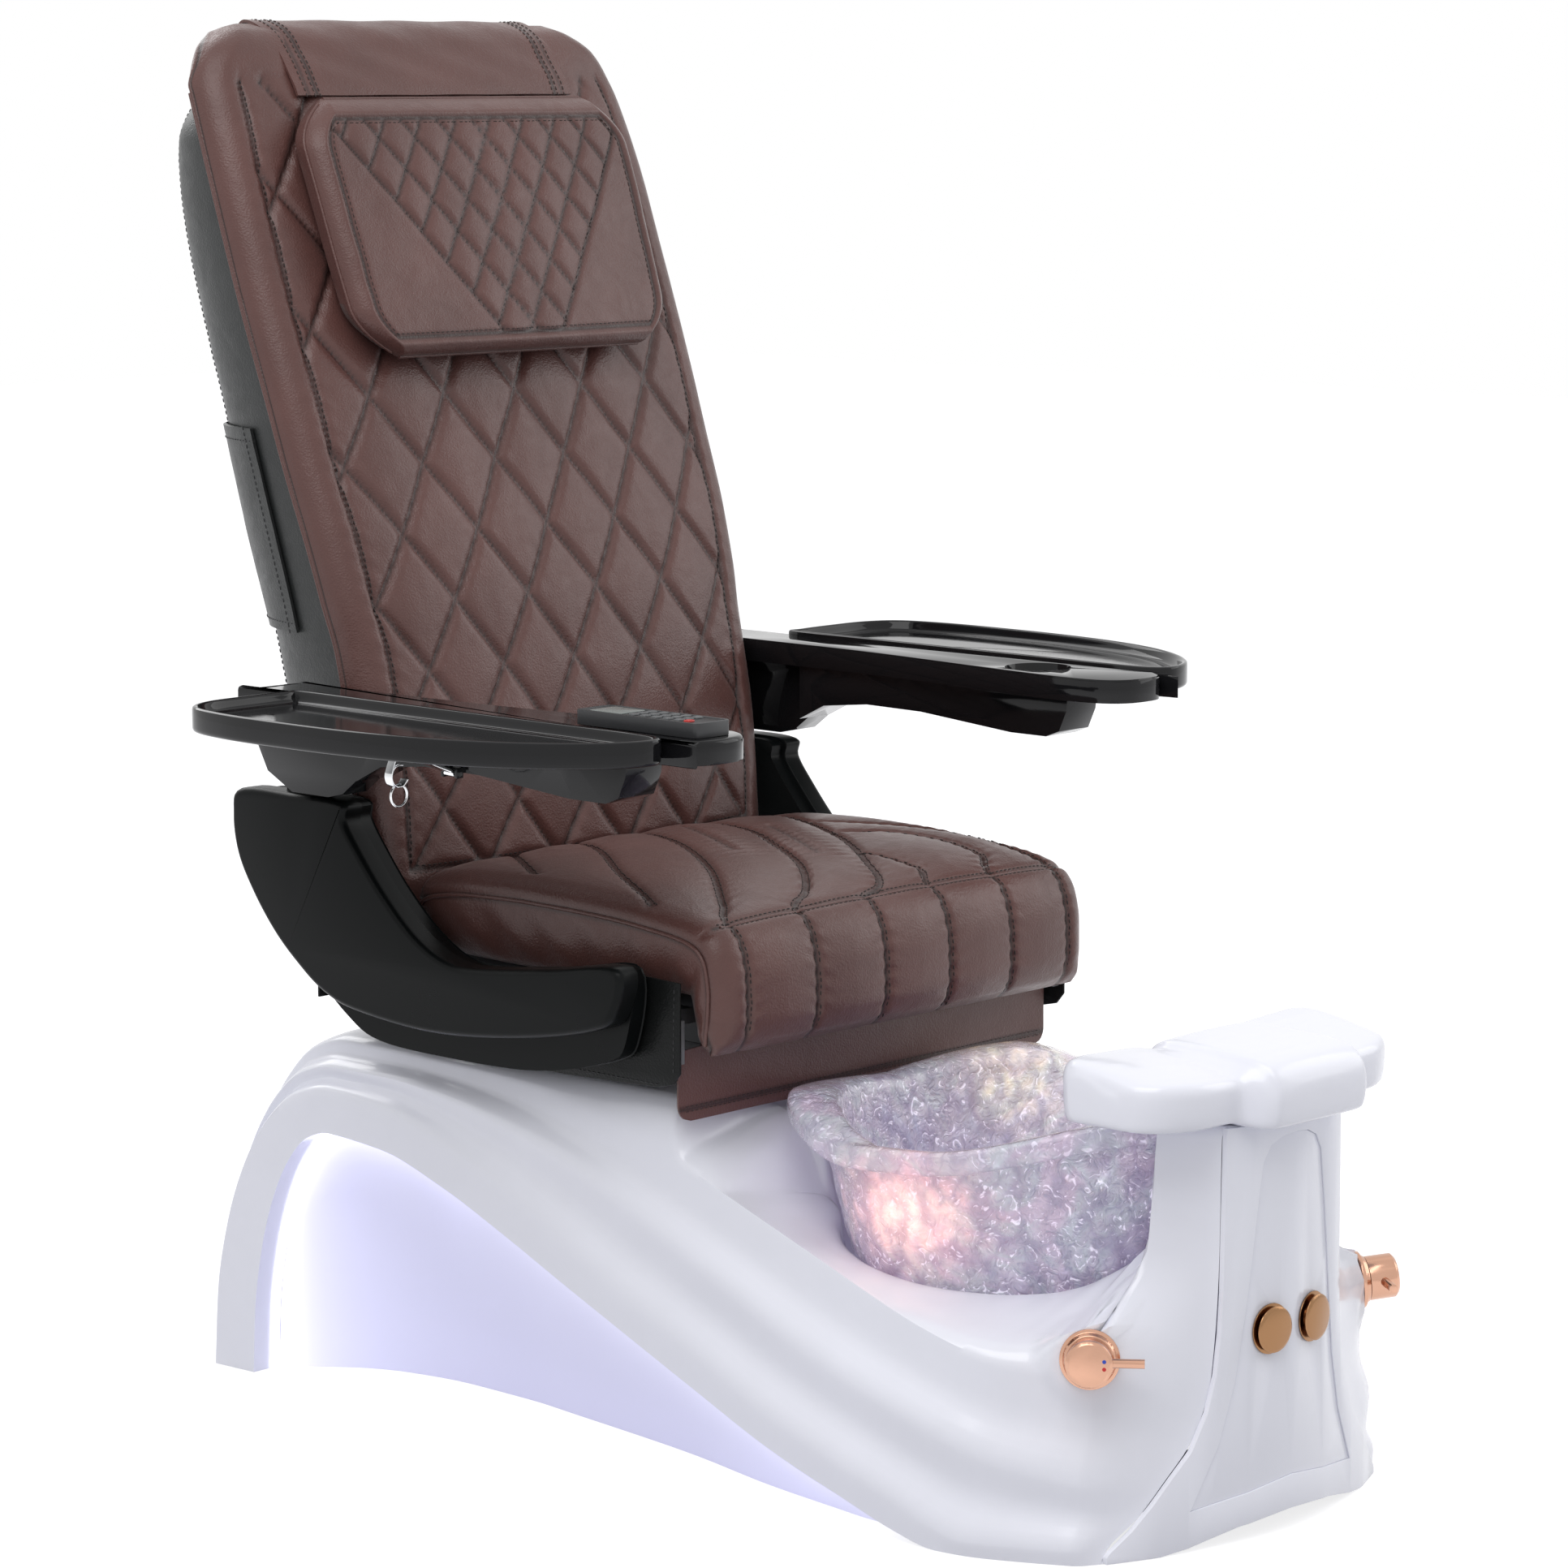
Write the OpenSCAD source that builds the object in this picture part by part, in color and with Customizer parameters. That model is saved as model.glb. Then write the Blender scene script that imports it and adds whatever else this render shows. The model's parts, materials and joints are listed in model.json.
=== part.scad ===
// Pedicure spa chair: a moulded foot-bath base with a glass bowl, and a sliding, reclining massage
// seat with flip-up armrests and fold-down trays.
// Millimetres. +Z is up, the floor is z = 0, the sitter faces -Y and sits with the left hand at +X.

/* [Base] */
// Half the greatest width of the base
base_half_w = 302; // [290:1:310]
// Rear end of the base, behind the origin
base_rear = 560; // [540:1:580]
// Front corner line of the base, ahead of the origin
base_front = 664; // [655:1:672]
// Height of the flat deck under the chair
deck_z = 390; // [380:1:392]
// Wall of the moulded shell
shell_t = 6; // [4:0.5:7]
// Depth of the flutes that sweep along each side
flute_depth = 9; // [0:0.5:14]
// Height of the lit recess in each side, under its arch
recess_z = 285; // [260:1:300]
// Width of the ledge round the lit recess
ledge_w = 40; // [30:1:50]

/* [Bowl] */
// Half the width of the bowl at its rim
bowl_half_w = 232; // [215:1:236]
// Half the length of the bowl at its rim
bowl_half_l = 225; // [210:1:228]
// Bowl centre, ahead of the origin
bowl_y = 375; // [370:1:380]
// Height of the rim at the middle of each side
rim_z = 362; // [350:1:370]
// Height of the bowl's foot above the floor
bowl_foot_z = 145; // [135:1:155]
// Wall of the glass
glass_t = 16; // [10:1:20]
// Radius of the drain hole
drain_r = 26; // [20:1:30]

/* [Footrest] */
// Half the width of the footrest bar
rest_half_w = 194; // [180:1:205]
// Top of the footrest
rest_top = 478; // [470:1:500]

/* [Taps] */
// Radius of each tap's wall flange
flange_r = 29; // [26:0.5:34]
// Radius of each tap's knob
knob_r = 22.5; // [19:0.5:24]
// Radius of each air button's rim
button_r = 25; // [21:0.5:27]
// Travel of an air button
button_travel = 4; // [2:0.5:5]

/* [Seat] */
// Half the width of the seat cushion
seat_half_w = 283; // [270:1:288]
// Top of the seat cushion at its middle
seat_top = 590; // [580:1:610]
// Travel of the seat along its rails
seat_travel = 100; // [60:5:110]

/* [Back] */
// Half the width of the back cushion at the shoulders
back_half_w = 318; // [300:1:322]
// Thickness of the back cushion
back_pad_t = 64; // [55:1:68]
// Width of one quilted diamond
diamond_w = 105; // [95:1:115]
// Height of one quilted diamond
diamond_h = 143; // [135:1:150]
// Half the width of the head pillow at its top
pillow_half_w = 238; // [220:1:245]
// Thickness of the head pillow
pillow_t = 48; // [38:1:52]

/* [Arms] */
// Thickness of an armrest's top plate
arm_plate_t = 25; // [20:1:27]
// Width of an armrest's body
arm_body_w = 50; // [44:1:50]
// Outer edge of an armrest's top plate, from the middle
arm_edge_x = 372; // [368:1:378]
// Reach of a tray beyond the armrest
tray_w = 186; // [160:1:200]
// Thickness of a tray
tray_t = 20; // [16:1:22]
// Radius of the cup hole in the left armrest
cup_r = 36; // [32:0.5:37]

/* [Hidden] */
$fn = 48;

// ---------- colours ----------
white = [0.93, 0.93, 0.97];
brown = [0.37, 0.28, 0.26];
black = [0.07, 0.07, 0.075];
soot = [0.16, 0.18, 0.18];
rose = [0.80, 0.58, 0.44];
steel = [0.62, 0.63, 0.65];

// ---------- curves and surfaces ----------
function mix(a, b, t) = a + (b - a) * t;
function ease(t) = let (u = min(1, max(0, t))) u * u * (3 - 2 * u);
// Tangent of a list of [position, value] pairs at pair i
function tangent(p, i) =
  let (a = max(0, i - 1), b = min(len(p) - 1, i + 1))
  (p[b][1] - p[a][1]) / (p[b][0] - p[a][0]);
// Pair that starts the stretch holding x
function stretch(p, x, i = 0) = (i >= len(p) - 2 || x < p[i + 1][0]) ? i : stretch(p, x, i + 1);
// Smooth curve through [position, value] pairs, level past both ends
function curve(p, x) =
  x <= p[0][0] ? p[0][1] :
  x >= p[len(p) - 1][0] ? p[len(p) - 1][1] :
  let (i = stretch(p, x), h = p[i + 1][0] - p[i][0], t = (x - p[i][0]) / h)
  p[i][1] * (2 * t * t * t - 3 * t * t + 1) + p[i + 1][1] * (3 * t * t - 2 * t * t * t)
  + h * tangent(p, i) * (t * t * t - 2 * t * t + t) + h * tangent(p, i + 1) * (t * t * t - t * t);
// Unit vector, or +Z for a null one
function unit(v) = norm(v) < 1e-9 ? [0, 0, 1] : v / norm(v);
// Unit vector from a to b, or a null one where they meet
function leg(a, b) = norm(b - a) < 1e-9 ? 0 * a : (b - a) / norm(b - a);
// Normal of a grid of points at row i, column j
function grid_normal(g, i, j) =
  let (r = len(g) - 1, c = len(g[0]) - 1,
       along = leg(g[i][j], g[min(r, i + 1)][j]) + leg(g[max(0, i - 1)][j], g[i][j]),
       across = leg(g[i][j], g[i][min(c, j + 1)]) + leg(g[i][max(0, j - 1)], g[i][j]))
  unit(cross(along, across));
// Closed sheet between two grids of points of the same size
module sheet(outer, inner) {
  c = len(outer[0]);
  r = len(outer);
  n = r * c;
  skin = [for (i = [0:r - 2], j = [0:c - 2])
    let (a = i * c + j, b = a + 1, d = a + c, e = d + 1)
    each [[a, b, e], [a, e, d], [n + a, n + e, n + b], [n + a, n + d, n + e]]];
  ends = [for (j = [0:c - 2]) let (a = j, b = j + 1, d = n - c + j, e = d + 1)
    each [[b, a, n + a], [b, n + a, n + b], [d, e, n + e], [d, n + e, n + d]]];
  sides = [for (i = [0:r - 2]) let (a = i * c, d = a + c, b = a + c - 1, e = b + c)
    each [[a, d, n + d], [a, n + d, n + a], [e, b, n + b], [e, n + b, n + e]]];
  polyhedron(points = concat([for (row = outer) each row], [for (row = inner) each row]),
             faces = concat(skin, ends, sides), convexity = 8);
}
// Closed body through rings of points, with flat ends; the rings turn clockwise as seen from the last one
module loft(rings) {
  c = len(rings[0]);
  r = len(rings);
  polyhedron(points = [for (ring = rings) each ring],
    faces = concat(
      [for (i = [0:r - 2], j = [0:c - 1])
        let (k = (j + 1) % c, a = i * c + j, b = i * c + k, d = a + c, e = b + c)
        each [[a, b, e], [a, e, d]]],
      [[for (j = [c - 1:-1:0]) j]],
      [[for (j = [0:c - 1]) (r - 1) * c + j]]), convexity = 8);
}
// Outline moved inwards by d, for points in counter-clockwise order
function inset(p, d) = [for (i = [0:len(p) - 1])
  let (a = p[(i + len(p) - 1) % len(p)], b = p[(i + 1) % len(p)], t = leg(a, p[i]), u = leg(p[i], b),
       k = d / (1 + t[0] * u[0] + t[1] * u[1]))
  [p[i][0] - k * (t[1] + u[1]), p[i][1] + k * (t[0] + u[0])]];
// Closed smooth outline through corner points, with steps points for each
function rounded(p, steps = 4) = let (n = len(p)) [for (i = [0:n - 1], k = [0:steps - 1])
  let (t = k / steps, a = p[(i + n - 1) % n], b = p[i], c = p[(i + 1) % n], d = p[(i + 2) % n])
  0.5 * (2 * b + (c - a) * t + (2 * a - 5 * b + 4 * c - d) * t * t
         + (3 * b - a - 3 * c + d) * t * t * t)];
module bar(low, high) { translate(low) cube(high - low); }
module rod_x(x0, x1, y, z, r) { translate([x0, y, z]) rotate([0, 90, 0]) cylinder(h = x1 - x0, r = r); }
module rod_y(y0, y1, x, z, r) { translate([x, y0, z]) rotate([-90, 0, 0]) cylinder(h = y1 - y0, r = r); }
// Outline given as [y, z] pairs, extruded along X
module slab_x(x0, x1, outline) {
  translate([x0, 0, 0]) rotate([90, 0, 90]) linear_extrude(x1 - x0) polygon(outline);
}
module slab_z(z0, z1, outline) { translate([0, 0, z0]) linear_extrude(z1 - z0) polygon(outline); }
// What stands on the sitter's left (side = 1) or, mirrored, on the right (side = -1)
module at_side(side) { if (side > 0) children(); else mirror([1, 0, 0]) children(); }

// ---------- bowl surface, which the base follows ----------
bowl_c = -bowl_y;
bowl_taper = 0.62;      // width of the bowl's front end against its rear
foot_scale = 0.50;      // size of the flat foot against the rim
wall_scale = 0.93;      // size of the wall's top against the rim
wall_power = 2.6;
rim_drop = 26;          // height of the rim's outer face
rim_lean = 6;
function bowl_width(y) = mix(bowl_taper, 1, ease((y - bowl_c + bowl_half_l) / (1.5 * bowl_half_l)));
// Size, against the rim, of the bowl outline that passes through [x, y]
function bowl_scale(x, y) =
  let (u = abs(x) / (bowl_half_w * bowl_width(y)), v = abs(y - bowl_c) / bowl_half_l)
  pow(pow(u, 2.5) + pow(v, 2.5), 1 / 2.5);
// Height of the wavy rim
function rim_height(x, y) =
  rim_z + 32 * ease((y - bowl_c - 0.3 * bowl_half_l) / (0.6 * bowl_half_l)) * (0.6 + 0.4 * min(1, abs(x) / 180))
  + 44 * ease((bowl_c - y) / (1.05 * bowl_half_l));
function wall_size(t) = mix(foot_scale, wall_scale, pow(t, 1 / wall_power));
function wall_depth(s) = pow(min(1, max(0, (s - foot_scale) / (wall_scale - foot_scale))), wall_power);
// Height of the bowl's underside at [x, y]
function bowl_under(x, y) = mix(bowl_foot_z, rim_height(x, y) - rim_drop, wall_depth(bowl_scale(x, y)));
well_room = 0.95;       // size of the bowl against its well
bowl_foot_h = 7;        // height of the feet that the bowl stands on
function bowl_point(a, s, z) =
  let (v = sin(a), y = bowl_c + s * bowl_half_l * sign(v) * pow(abs(v), 0.8), u = cos(a))
  [s * bowl_half_w * bowl_width(bowl_c + (y - bowl_c) / s) * sign(u) * pow(abs(u), 0.8), y, z];

// ---------- base shell surface ----------
fan_y = 375;            // where the rear rounding of the base starts
rear_wall = 60;         // depth of the base behind the lit recess
side_x = [[-base_front, 214], [-640, 222], [-612, 240], [-560, 268], [-510, 288], [-420, 297],
          [-200, base_half_w - 2], [fan_y, base_half_w]];
recess_top = [[-456, 0], [-425, 12], [-274, 59], [-163, 104], [9, 176], [177, 246], [288, recess_z - 6],
              [fan_y, recess_z]];
crest_1 = [[-base_front, 12], [-518, 14], [-435, 42], [-274, 96], [-175, 140], [-61, 187], [68, 251],
           [176, 294], [275, 323], [fan_y, 332]];
crest_2 = [[-base_front, 68], [-550, 92], [-450, 122], [-329, 160], [-164, 229], [-50, 278], [67, 319],
           [188, 346], [312, 358], [fan_y, 356]];
crest_3 = [[-base_front, 168], [-612, 184], [-538, 186], [-435, 211], [-329, 249], [-220, 288],
           [-108, 328], [7, 361], [126, deck_z - 14], [fan_y, deck_z - 9]];
lip_z = [[-600, 322], [-575, 290], [-545, 255], [-500, 228], [-420, 219], [-340, 223], [-240, 246],
         [-190, 282], [-165, 330], [-148, 350], [-128, 362]];
column_top = 412;
column_rear = -612;
// Half the width of the front column at a height
column_x = [[0, 220], [12, 210], [31, 188], [70, 154], [98, 128], [135, 109], [168, 100], [198, 96], [245, 93],
            [400, 91]];
column_z = [12, 40, 68, 115, 168, 290, 400];
// One side of a section at y, from the recess to the middle, as [x, z] pairs
function side_levels(y, f = flute_depth) =
  let (sx = curve(side_x, y), z1 = curve(recess_top, y), z2 = max(z1 + 16, curve(crest_1, y)),
       z4 = max(z2 + 16, curve(crest_2, y)), z6 = max(z4 + 16, curve(crest_3, y)))
  [[sx - ledge_w, z1], [sx - 3, z1], [sx, z2], [sx - 6 - f, mix(z2, z4, 0.5)], [sx - 10, z4],
   [sx - 20 - f, mix(z4, z6, 0.5)], [sx - 30, z6]];
// Height of the well: the bowl's underside, with room round it
well_columns = [0.93, 0.84, 0.74, 0.6, 0];
function well_z(x, y) = min(deck_z, bowl_under(well_room * x, bowl_c + well_room * (y - bowl_c)) - bowl_foot_h);
// The rest of a section over the deck
function deck_levels(y) = let (sx = curve(side_x, y))
  [[sx - 48, deck_z - 2], [sx - 72, deck_z], for (f = well_columns) [f * (sx - 72), deck_z]];
// The rest of a section over the bowl's well
function well_levels(y) =
  let (sx = curve(side_x, y), lz = curve(lip_z, y), lx = lip_x(y, lz), z6 = curve(crest_3, y))
  [[mix(sx - 30, lx, 0.5), mix(z6, lz, 0.5) + 4], [lx, lz], for (f = well_columns) [f * lx, well_z(f * lx, y)]];
// Where the bowl's underside, with its clearance, meets height z in the section at y
function lip_x(y, z) =
  let (t = (z - bowl_foot_z) / (rim_z - rim_drop - bowl_foot_z), s = wall_size(min(1, max(0, t))),
       v = abs(y - bowl_c) / bowl_half_l)
  max(y > -200 ? 130 : 60, bowl_half_w * bowl_width(y) * pow(max(0, pow(s, 2.5) - pow(v, 2.5)), 1 / 2.5) + 5);
function column_levels(x_out) =
  [[x_out + 6, 290], [x_out, 400], for (f = well_columns) [f * x_out, column_top]];
seat_front = bowl_c + bowl_half_l + 16;   // front of the seat's flap, clear of the bowl
deck_front = seat_front + 12;
function half_section(y) =
  y > deck_front ? concat(side_levels(y), deck_levels(y)) :
  y > column_rear + 8 ? concat(side_levels(y), well_levels(y)) :
  concat(side_levels(y), column_levels(mix(120, 106, (column_rear - y) / 40)));
function both_sides(h) = concat([for (p = h) [-p[0], p[1]]], [for (i = [len(h) - 2:-1:0]) h[i]]);
rear_turn = [0, 15, 30, 45, 60, 75];
y_stations = [fan_y, 290, 200, 110, 20, -60, deck_front + 16, deck_front - 3, -140, -158, -172, -188, -205,
              -228, -260, -310, -370, -430, -480, -512, -535, -555, -572, -586, -598, column_rear];
front_half = concat(
  [[column_x[0][1] - ledge_w, 0], [column_x[0][1] - 3, 0]],
  [for (z = column_z) [curve(column_x, z), z]],
  [for (f = well_columns) [f * column_x[len(column_x) - 1][1], column_top]]);
// Plan of the front face: distance ahead of the origin at each half width
face_plan = [[0, base_front + 26], [60, base_front + 19], [104, base_front + 7], [131, base_front],
             [168, base_front - 12], [214, base_front - 32]];
fascia_t = 6;
function flat_at(p, x, i = 0) = (i >= len(p) - 2 || x <= p[i + 1][0])
  ? mix(p[i][1], p[i + 1][1], (x - p[i][0]) / (p[i + 1][0] - p[i][0])) : flat_at(p, x, i + 1);
function face_y(x) = -flat_at(face_plan, abs(x));
function shell_front(x) = face_y(x) + fascia_t + 0.5;
function rear_row(a) =
  let (h = both_sides(concat(side_levels(fan_y, flute_depth * sin(a)), deck_levels(fan_y))), n = len(h))
  [for (j = [0:n - 1]) let (reach = (j < 2 || j > n - 3) ? base_rear - rear_wall - fan_y : base_rear - fan_y)
    [h[j][0], fan_y + reach * cos(a), h[j][1] * sin(a)]];
base_rows = concat(
  [for (a = rear_turn) rear_row(a)],
  [for (y = y_stations) [for (p = both_sides(half_section(y))) [p[0], y, p[1]]]],
  [[for (p = both_sides(front_half)) [p[0], shell_front(p[0]), p[1]]]]);
// Share of the wall by which a point k columns from the section's edge moves towards the middle
function draw_in(k, y) = k == 0 ? 0 : y < column_rear + 8 ? (k < 12 ? 1 : 0) : k < 7 ? 1 : k == 7 ? 0.5 : 0;
// Inner face of the shell: the ledge's side thickens away from the recess, the rest inwards
function inner_rows(g, t) = [for (i = [0:len(g) - 1]) let (a = i < len(rear_turn) ? rear_turn[i] : 90)
  [for (j = [0:len(g[0]) - 1]) let (p = g[i][j], k = min(j, len(g[0]) - 1 - j),
     x = p[0] - sign(p[0]) * t * draw_in(k, p[1]), d = k < 2 ? t : -t)
    [x, i == len(g) - 1 ? shell_front(x) : p[1] + d * cos(a), i == 0 ? 0 : p[2] + d * sin(a)]]];

module base_shell() {
  color(white) difference() {
    union() {
      sheet(base_rows, inner_rows(base_rows, shell_t));
      for (side = [-1, 1]) tap_axis(side) translate([0, 0, tap_seat - 22]) cylinder(h = 22, r = flange_r + 2);
    }
    for (side = [-1, 1]) tap_axis(side) translate([0, 0, tap_seat]) cylinder(h = 60, r = flange_r + 2);
    translate([0, drain_y, 0]) cylinder(h = bowl_foot_z + 5, r = drain_r);
    translate([0, jet_y, 0]) cylinder(h = bowl_foot_z + 5, r = jet_r - 1);
    for (side = [-1, 1]) tap_axis(side) cylinder(h = 120, r = valve_r, center = true);
  }
}

// ---------- taps ----------
tap_x = 203;
tap_y = -600;
tap_z = 196;
tap_turn = 38;          // how far each tap faces forward of straight sideways
valve_r = 17;
stem_r = 9;
inlet_r = 7;
tap_seat = 12;           // where the flange sits along the tap's axis
// Frame of a tap: +Z points out of the base along the knob's axis
module tap_axis(side) {
  at_side(side) translate([tap_x, tap_y, tap_z]) rotate([0, 0, -tap_turn]) rotate([0, 84, 0]) children();
}
module tap_flange(side) { color(rose) tap_axis(side) difference() {
    union() {
      translate([0, 0, tap_seat + 0.3]) cylinder(h = 4, r = flange_r);
      translate([0, 0, tap_seat + 4.3]) cylinder(h = 5, r1 = flange_r - 3, r2 = knob_r + 1);
    }
    cylinder(h = 60, r = stem_r + 0.3, center = true);
} }
module tap_handle(side) { color(rose) tap_axis(side) {
    translate([0, 0, 22]) cylinder(h = 27, r = knob_r);
    translate([0, 0, 49]) cylinder(h = 3, r1 = knob_r, r2 = knob_r - 3);
    translate([0, 0, 2]) cylinder(h = 22, r = stem_r);
    translate([0, 0, 36]) rotate([90, 0, 0]) cylinder(h = knob_r + 30, r = 4.5);
} }
module tap_valve(side) { color("goldenrod") tap_axis(side) difference() {
    union() {
      translate([0, 0, -42]) cylinder(h = 42 + tap_seat, r = valve_r - 0.5);
      for (a = [-1, 1]) translate([0, a * 12, -34]) rotate([a * -90, 0, 0]) cylinder(h = 8, r = inlet_r);
    }
    translate([0, 0, 1]) cylinder(h = 60, r = stem_r + 0.05);
} }

// ---------- front of the base ----------
function mirrored(h) = concat(h, [for (i = [len(h) - 1:-1:0]) if (h[i][0] > 0.01) [-h[i][0], h[i][1]]]);
fascia_levels = [0, 12, 30, 50, 75, 100, 135, 170, 210, 250, 290, 330, 370, 400];
toe_arch = 22;          // height of the arch under the front face
fascia_outline = mirrored(concat([[0, toe_arch], [70, toe_arch - 6], [130, 4], [160, 0]],
  [for (z = fascia_levels) [curve(column_x, z), z]], [[90, column_top - 1], [0, column_top - 1]]));
// Outline of the access panel, arched at the top and spread at the foot
panel_outline = mirrored([[0, 56], [128, 40], [96, 100], [78, 160], [66, 230], [54, 320], [46, 372], [36, 388],
                          [20, 395], [0, 397]]);
module face_plate(front, back) {
  outer = concat([for (i = [len(face_plan) - 1:-1:0]) [-face_plan[i][0], -face_plan[i][1] + front]],
                 [for (i = [1:len(face_plan) - 1]) [face_plan[i][0], -face_plan[i][1] + front]]);
  inner = concat([for (i = [len(face_plan) - 1:-1:1]) [face_plan[i][0], -face_plan[i][1] + back]],
                 [for (i = [0:len(face_plan) - 1]) [-face_plan[i][0], -face_plan[i][1] + back]]);
  slab_z(-5, column_top + 5, concat(outer, inner));
}
module through_y(outline) {
  translate([0, -base_front + 60, 0]) rotate([90, 0, 0]) linear_extrude(120) polygon(outline);
}
module front_fascia() { color(white) difference() {
    intersection() { face_plate(0, fascia_t); through_y(fascia_outline); }
    through_y(panel_outline);
} }
module access_panel() { color(white) difference() {
    intersection() { face_plate(1.5, fascia_t + 0.3); through_y(inset(panel_outline, 0.3)); }
    for (side = [-1, 1]) button_axis(side) cylinder(h = 60, r = bezel_r, center = true);
} }
button_x = 33;
button_z = 207;
bezel_r = 16;
plunger_r = 11;
// Frame of an air button: +Z points out of the front face
module button_axis(side) {
  turn = atan((face_plan[1][1] - face_plan[0][1]) / (face_plan[1][0] - face_plan[0][0]));
  translate([side * button_x, face_y(button_x) + 1.5, button_z]) rotate([0, 0, -side * turn])
    rotate([90, 0, 0]) children();
}
module button_bezels() { color(rose) for (side = [-1, 1]) button_axis(side) difference() {
    union() {
      translate([0, 0, 0.8]) cylinder(h = 1.4, r = button_r);
      translate([0, 0, -34]) cylinder(h = 35, r = bezel_r - 0.3);
    }
    translate([0, 0, -30]) cylinder(h = 60, r = plunger_r + 0.05);
} }
module air_button(side) { color(rose) button_axis(side) {
    translate([0, 0, button_travel + 2.5]) cylinder(h = 1.5, r = button_r - 2);
    translate([0, 0, button_travel + 4]) cylinder(h = 1.5, r1 = button_r - 2, r2 = button_r - 6);
    translate([0, 0, -20]) cylinder(h = 23 + button_travel, r = plunger_r);
} }

// ---------- lit sides ----------
panel_floor = [[-440, 262], [-395, 258], [-218, 236], [-72, 206], [131, 180], [215, 172], [315, 173],
               [380, 186], [426, 206], [470, 240], [496, 260]];
// Rows of the panel as [y, height], which follow the rows of the shell's ledge
panel_rows = concat(
  [for (a = rear_turn) if (a > 0)
    [fan_y + (base_rear - rear_wall - fan_y - 0.3) * cos(a), (recess_z - 0.3) * sin(a)]],
  [for (y = y_stations) if (y > panel_floor[0][0]) [y, curve(recess_top, y) - 0.3]]);
function panel_row(p, d) = let (far = curve(side_x, p[0]) - ledge_w - 0.6)
  [for (t = [0, 0.2, 0.4, 0.6, 0.8, 1])
    [mix(min(far, curve(panel_floor, p[0])), far, pow(t, 1.7)) - d, p[0], t * p[1]]];
module side_panel(side) {
  color(white) at_side(side)
    sheet([for (p = panel_rows) panel_row(p, 4)], [for (p = panel_rows) panel_row(p, 0)]);
}
// Points on the ledge round the recess, t from its inner to its outer edge, d below its face
function ledge_point(i, t, d) = let (n = len(base_rows[0]) - 1)
  mix(base_rows[i][n], base_rows[i][n - 1], t) + d * grid_normal(base_rows, i, n);
led_rows = [for (i = [1:len(base_rows) - 1]) if (base_rows[i][0][1] > -345) i];
module led_strip(side) {
  color("lavender") at_side(side)
    sheet([for (i = led_rows) [for (t = [0.08, 0.34]) ledge_point(i, t, 0.3)]],
          [for (i = led_rows) [for (t = [0.08, 0.34]) ledge_point(i, t, 3.3)]]);
}

// ---------- frame inside the base ----------
frame_x = 120;
frame_tube = 30;
foot_h = 25;
module base_frame() { color(steel) {
    for (s = [-1, 1]) at_side(s) {
      bar([frame_x, -600, foot_h], [frame_x + frame_tube, 470, foot_h + frame_tube]);
      for (y = [-100, 330])
        bar([frame_x, y, foot_h + frame_tube], [frame_x + frame_tube, y + frame_tube, deck_z - shell_t - 0.3]);
    }
    for (y = [-100, 330])
      bar([-frame_x, y, deck_z - shell_t - frame_tube - 0.3], [frame_x, y + frame_tube, deck_z - shell_t - 0.3]);
    for (y = [-600, -100, 170, 440]) bar([-frame_x, y, foot_h], [frame_x, y + frame_tube, foot_h + frame_tube]);
} }
module levelling_feet() { color(soot) for (s = [-1, 1], y = [-560, -85, 455])
    translate([s * (frame_x + frame_tube / 2), y, 0]) {
      cylinder(h = 9, r1 = 19, r2 = 16);
      cylinder(h = foot_h, r = 5);
    }
}
module control_box() { color(soot) difference() {
    bar([-95, 150, foot_h + frame_tube + 0.3], [95, 240, 128]);
    for (s = [-1, 1]) translate([s * 60, 149, 90]) rotate([-90, 0, 0]) cylinder(h = 12, r = 9);
} }

// ---------- glass bowl ----------
bowl_turns = 36;
wall_steps = [0, 0.01, 0.06, 0.18, 0.38, 0.68, 1];
glass_scale = glass_t / bowl_half_w;
function rim_at(k, s) =
  let (a = -360 * k / bowl_turns, p = bowl_point(a, s, 0), q = bowl_point(a, 1, 0))
  [p[0], p[1], rim_height(q[0], q[1])];
function outer_wall(t) = [for (k = [0:bowl_turns - 1]) let (p = rim_at(k, wall_size(t)))
  [p[0], p[1], mix(bowl_foot_z, p[2] - rim_drop, t)]];
function inner_wall(t) = [for (k = [0:bowl_turns - 1]) let (p = rim_at(k, wall_size(t) - glass_scale))
  [p[0], p[1], mix(bowl_foot_z + glass_t, p[2] - rim_lean, t)]];
function rim_ring(s, d) = [for (k = [0:bowl_turns - 1]) let (p = rim_at(k, s)) [p[0], p[1], p[2] - d]];
drain_y = bowl_c - 46;
jet_y = bowl_c + 40;
bowl_foot_at = 52;
module glass_bowl() { color([0.85, 0.82, 0.95, 0.5]) {
  difference() {
    loft(concat([for (t = wall_steps) outer_wall(t)],
      [rim_ring(0.985, rim_drop - 2), rim_ring(1, rim_drop - 8), rim_ring(1, rim_lean), rim_ring(0.975, 0),
       rim_ring(0.90, 0)],
      [for (i = [len(wall_steps) - 1:-1:0]) inner_wall(wall_steps[i])]));
    translate([0, drain_y, 0]) cylinder(h = bowl_foot_z + 60, r = drain_r);
  }
  for (x = [-1, 1], y = [-1, 1])
    translate([x * bowl_foot_at, bowl_c + y * bowl_foot_at, bowl_foot_z - bowl_foot_h + 0.3])
      cylinder(h = bowl_foot_h + 2, r = 10);
} }
outlet_r = 19;
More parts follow.
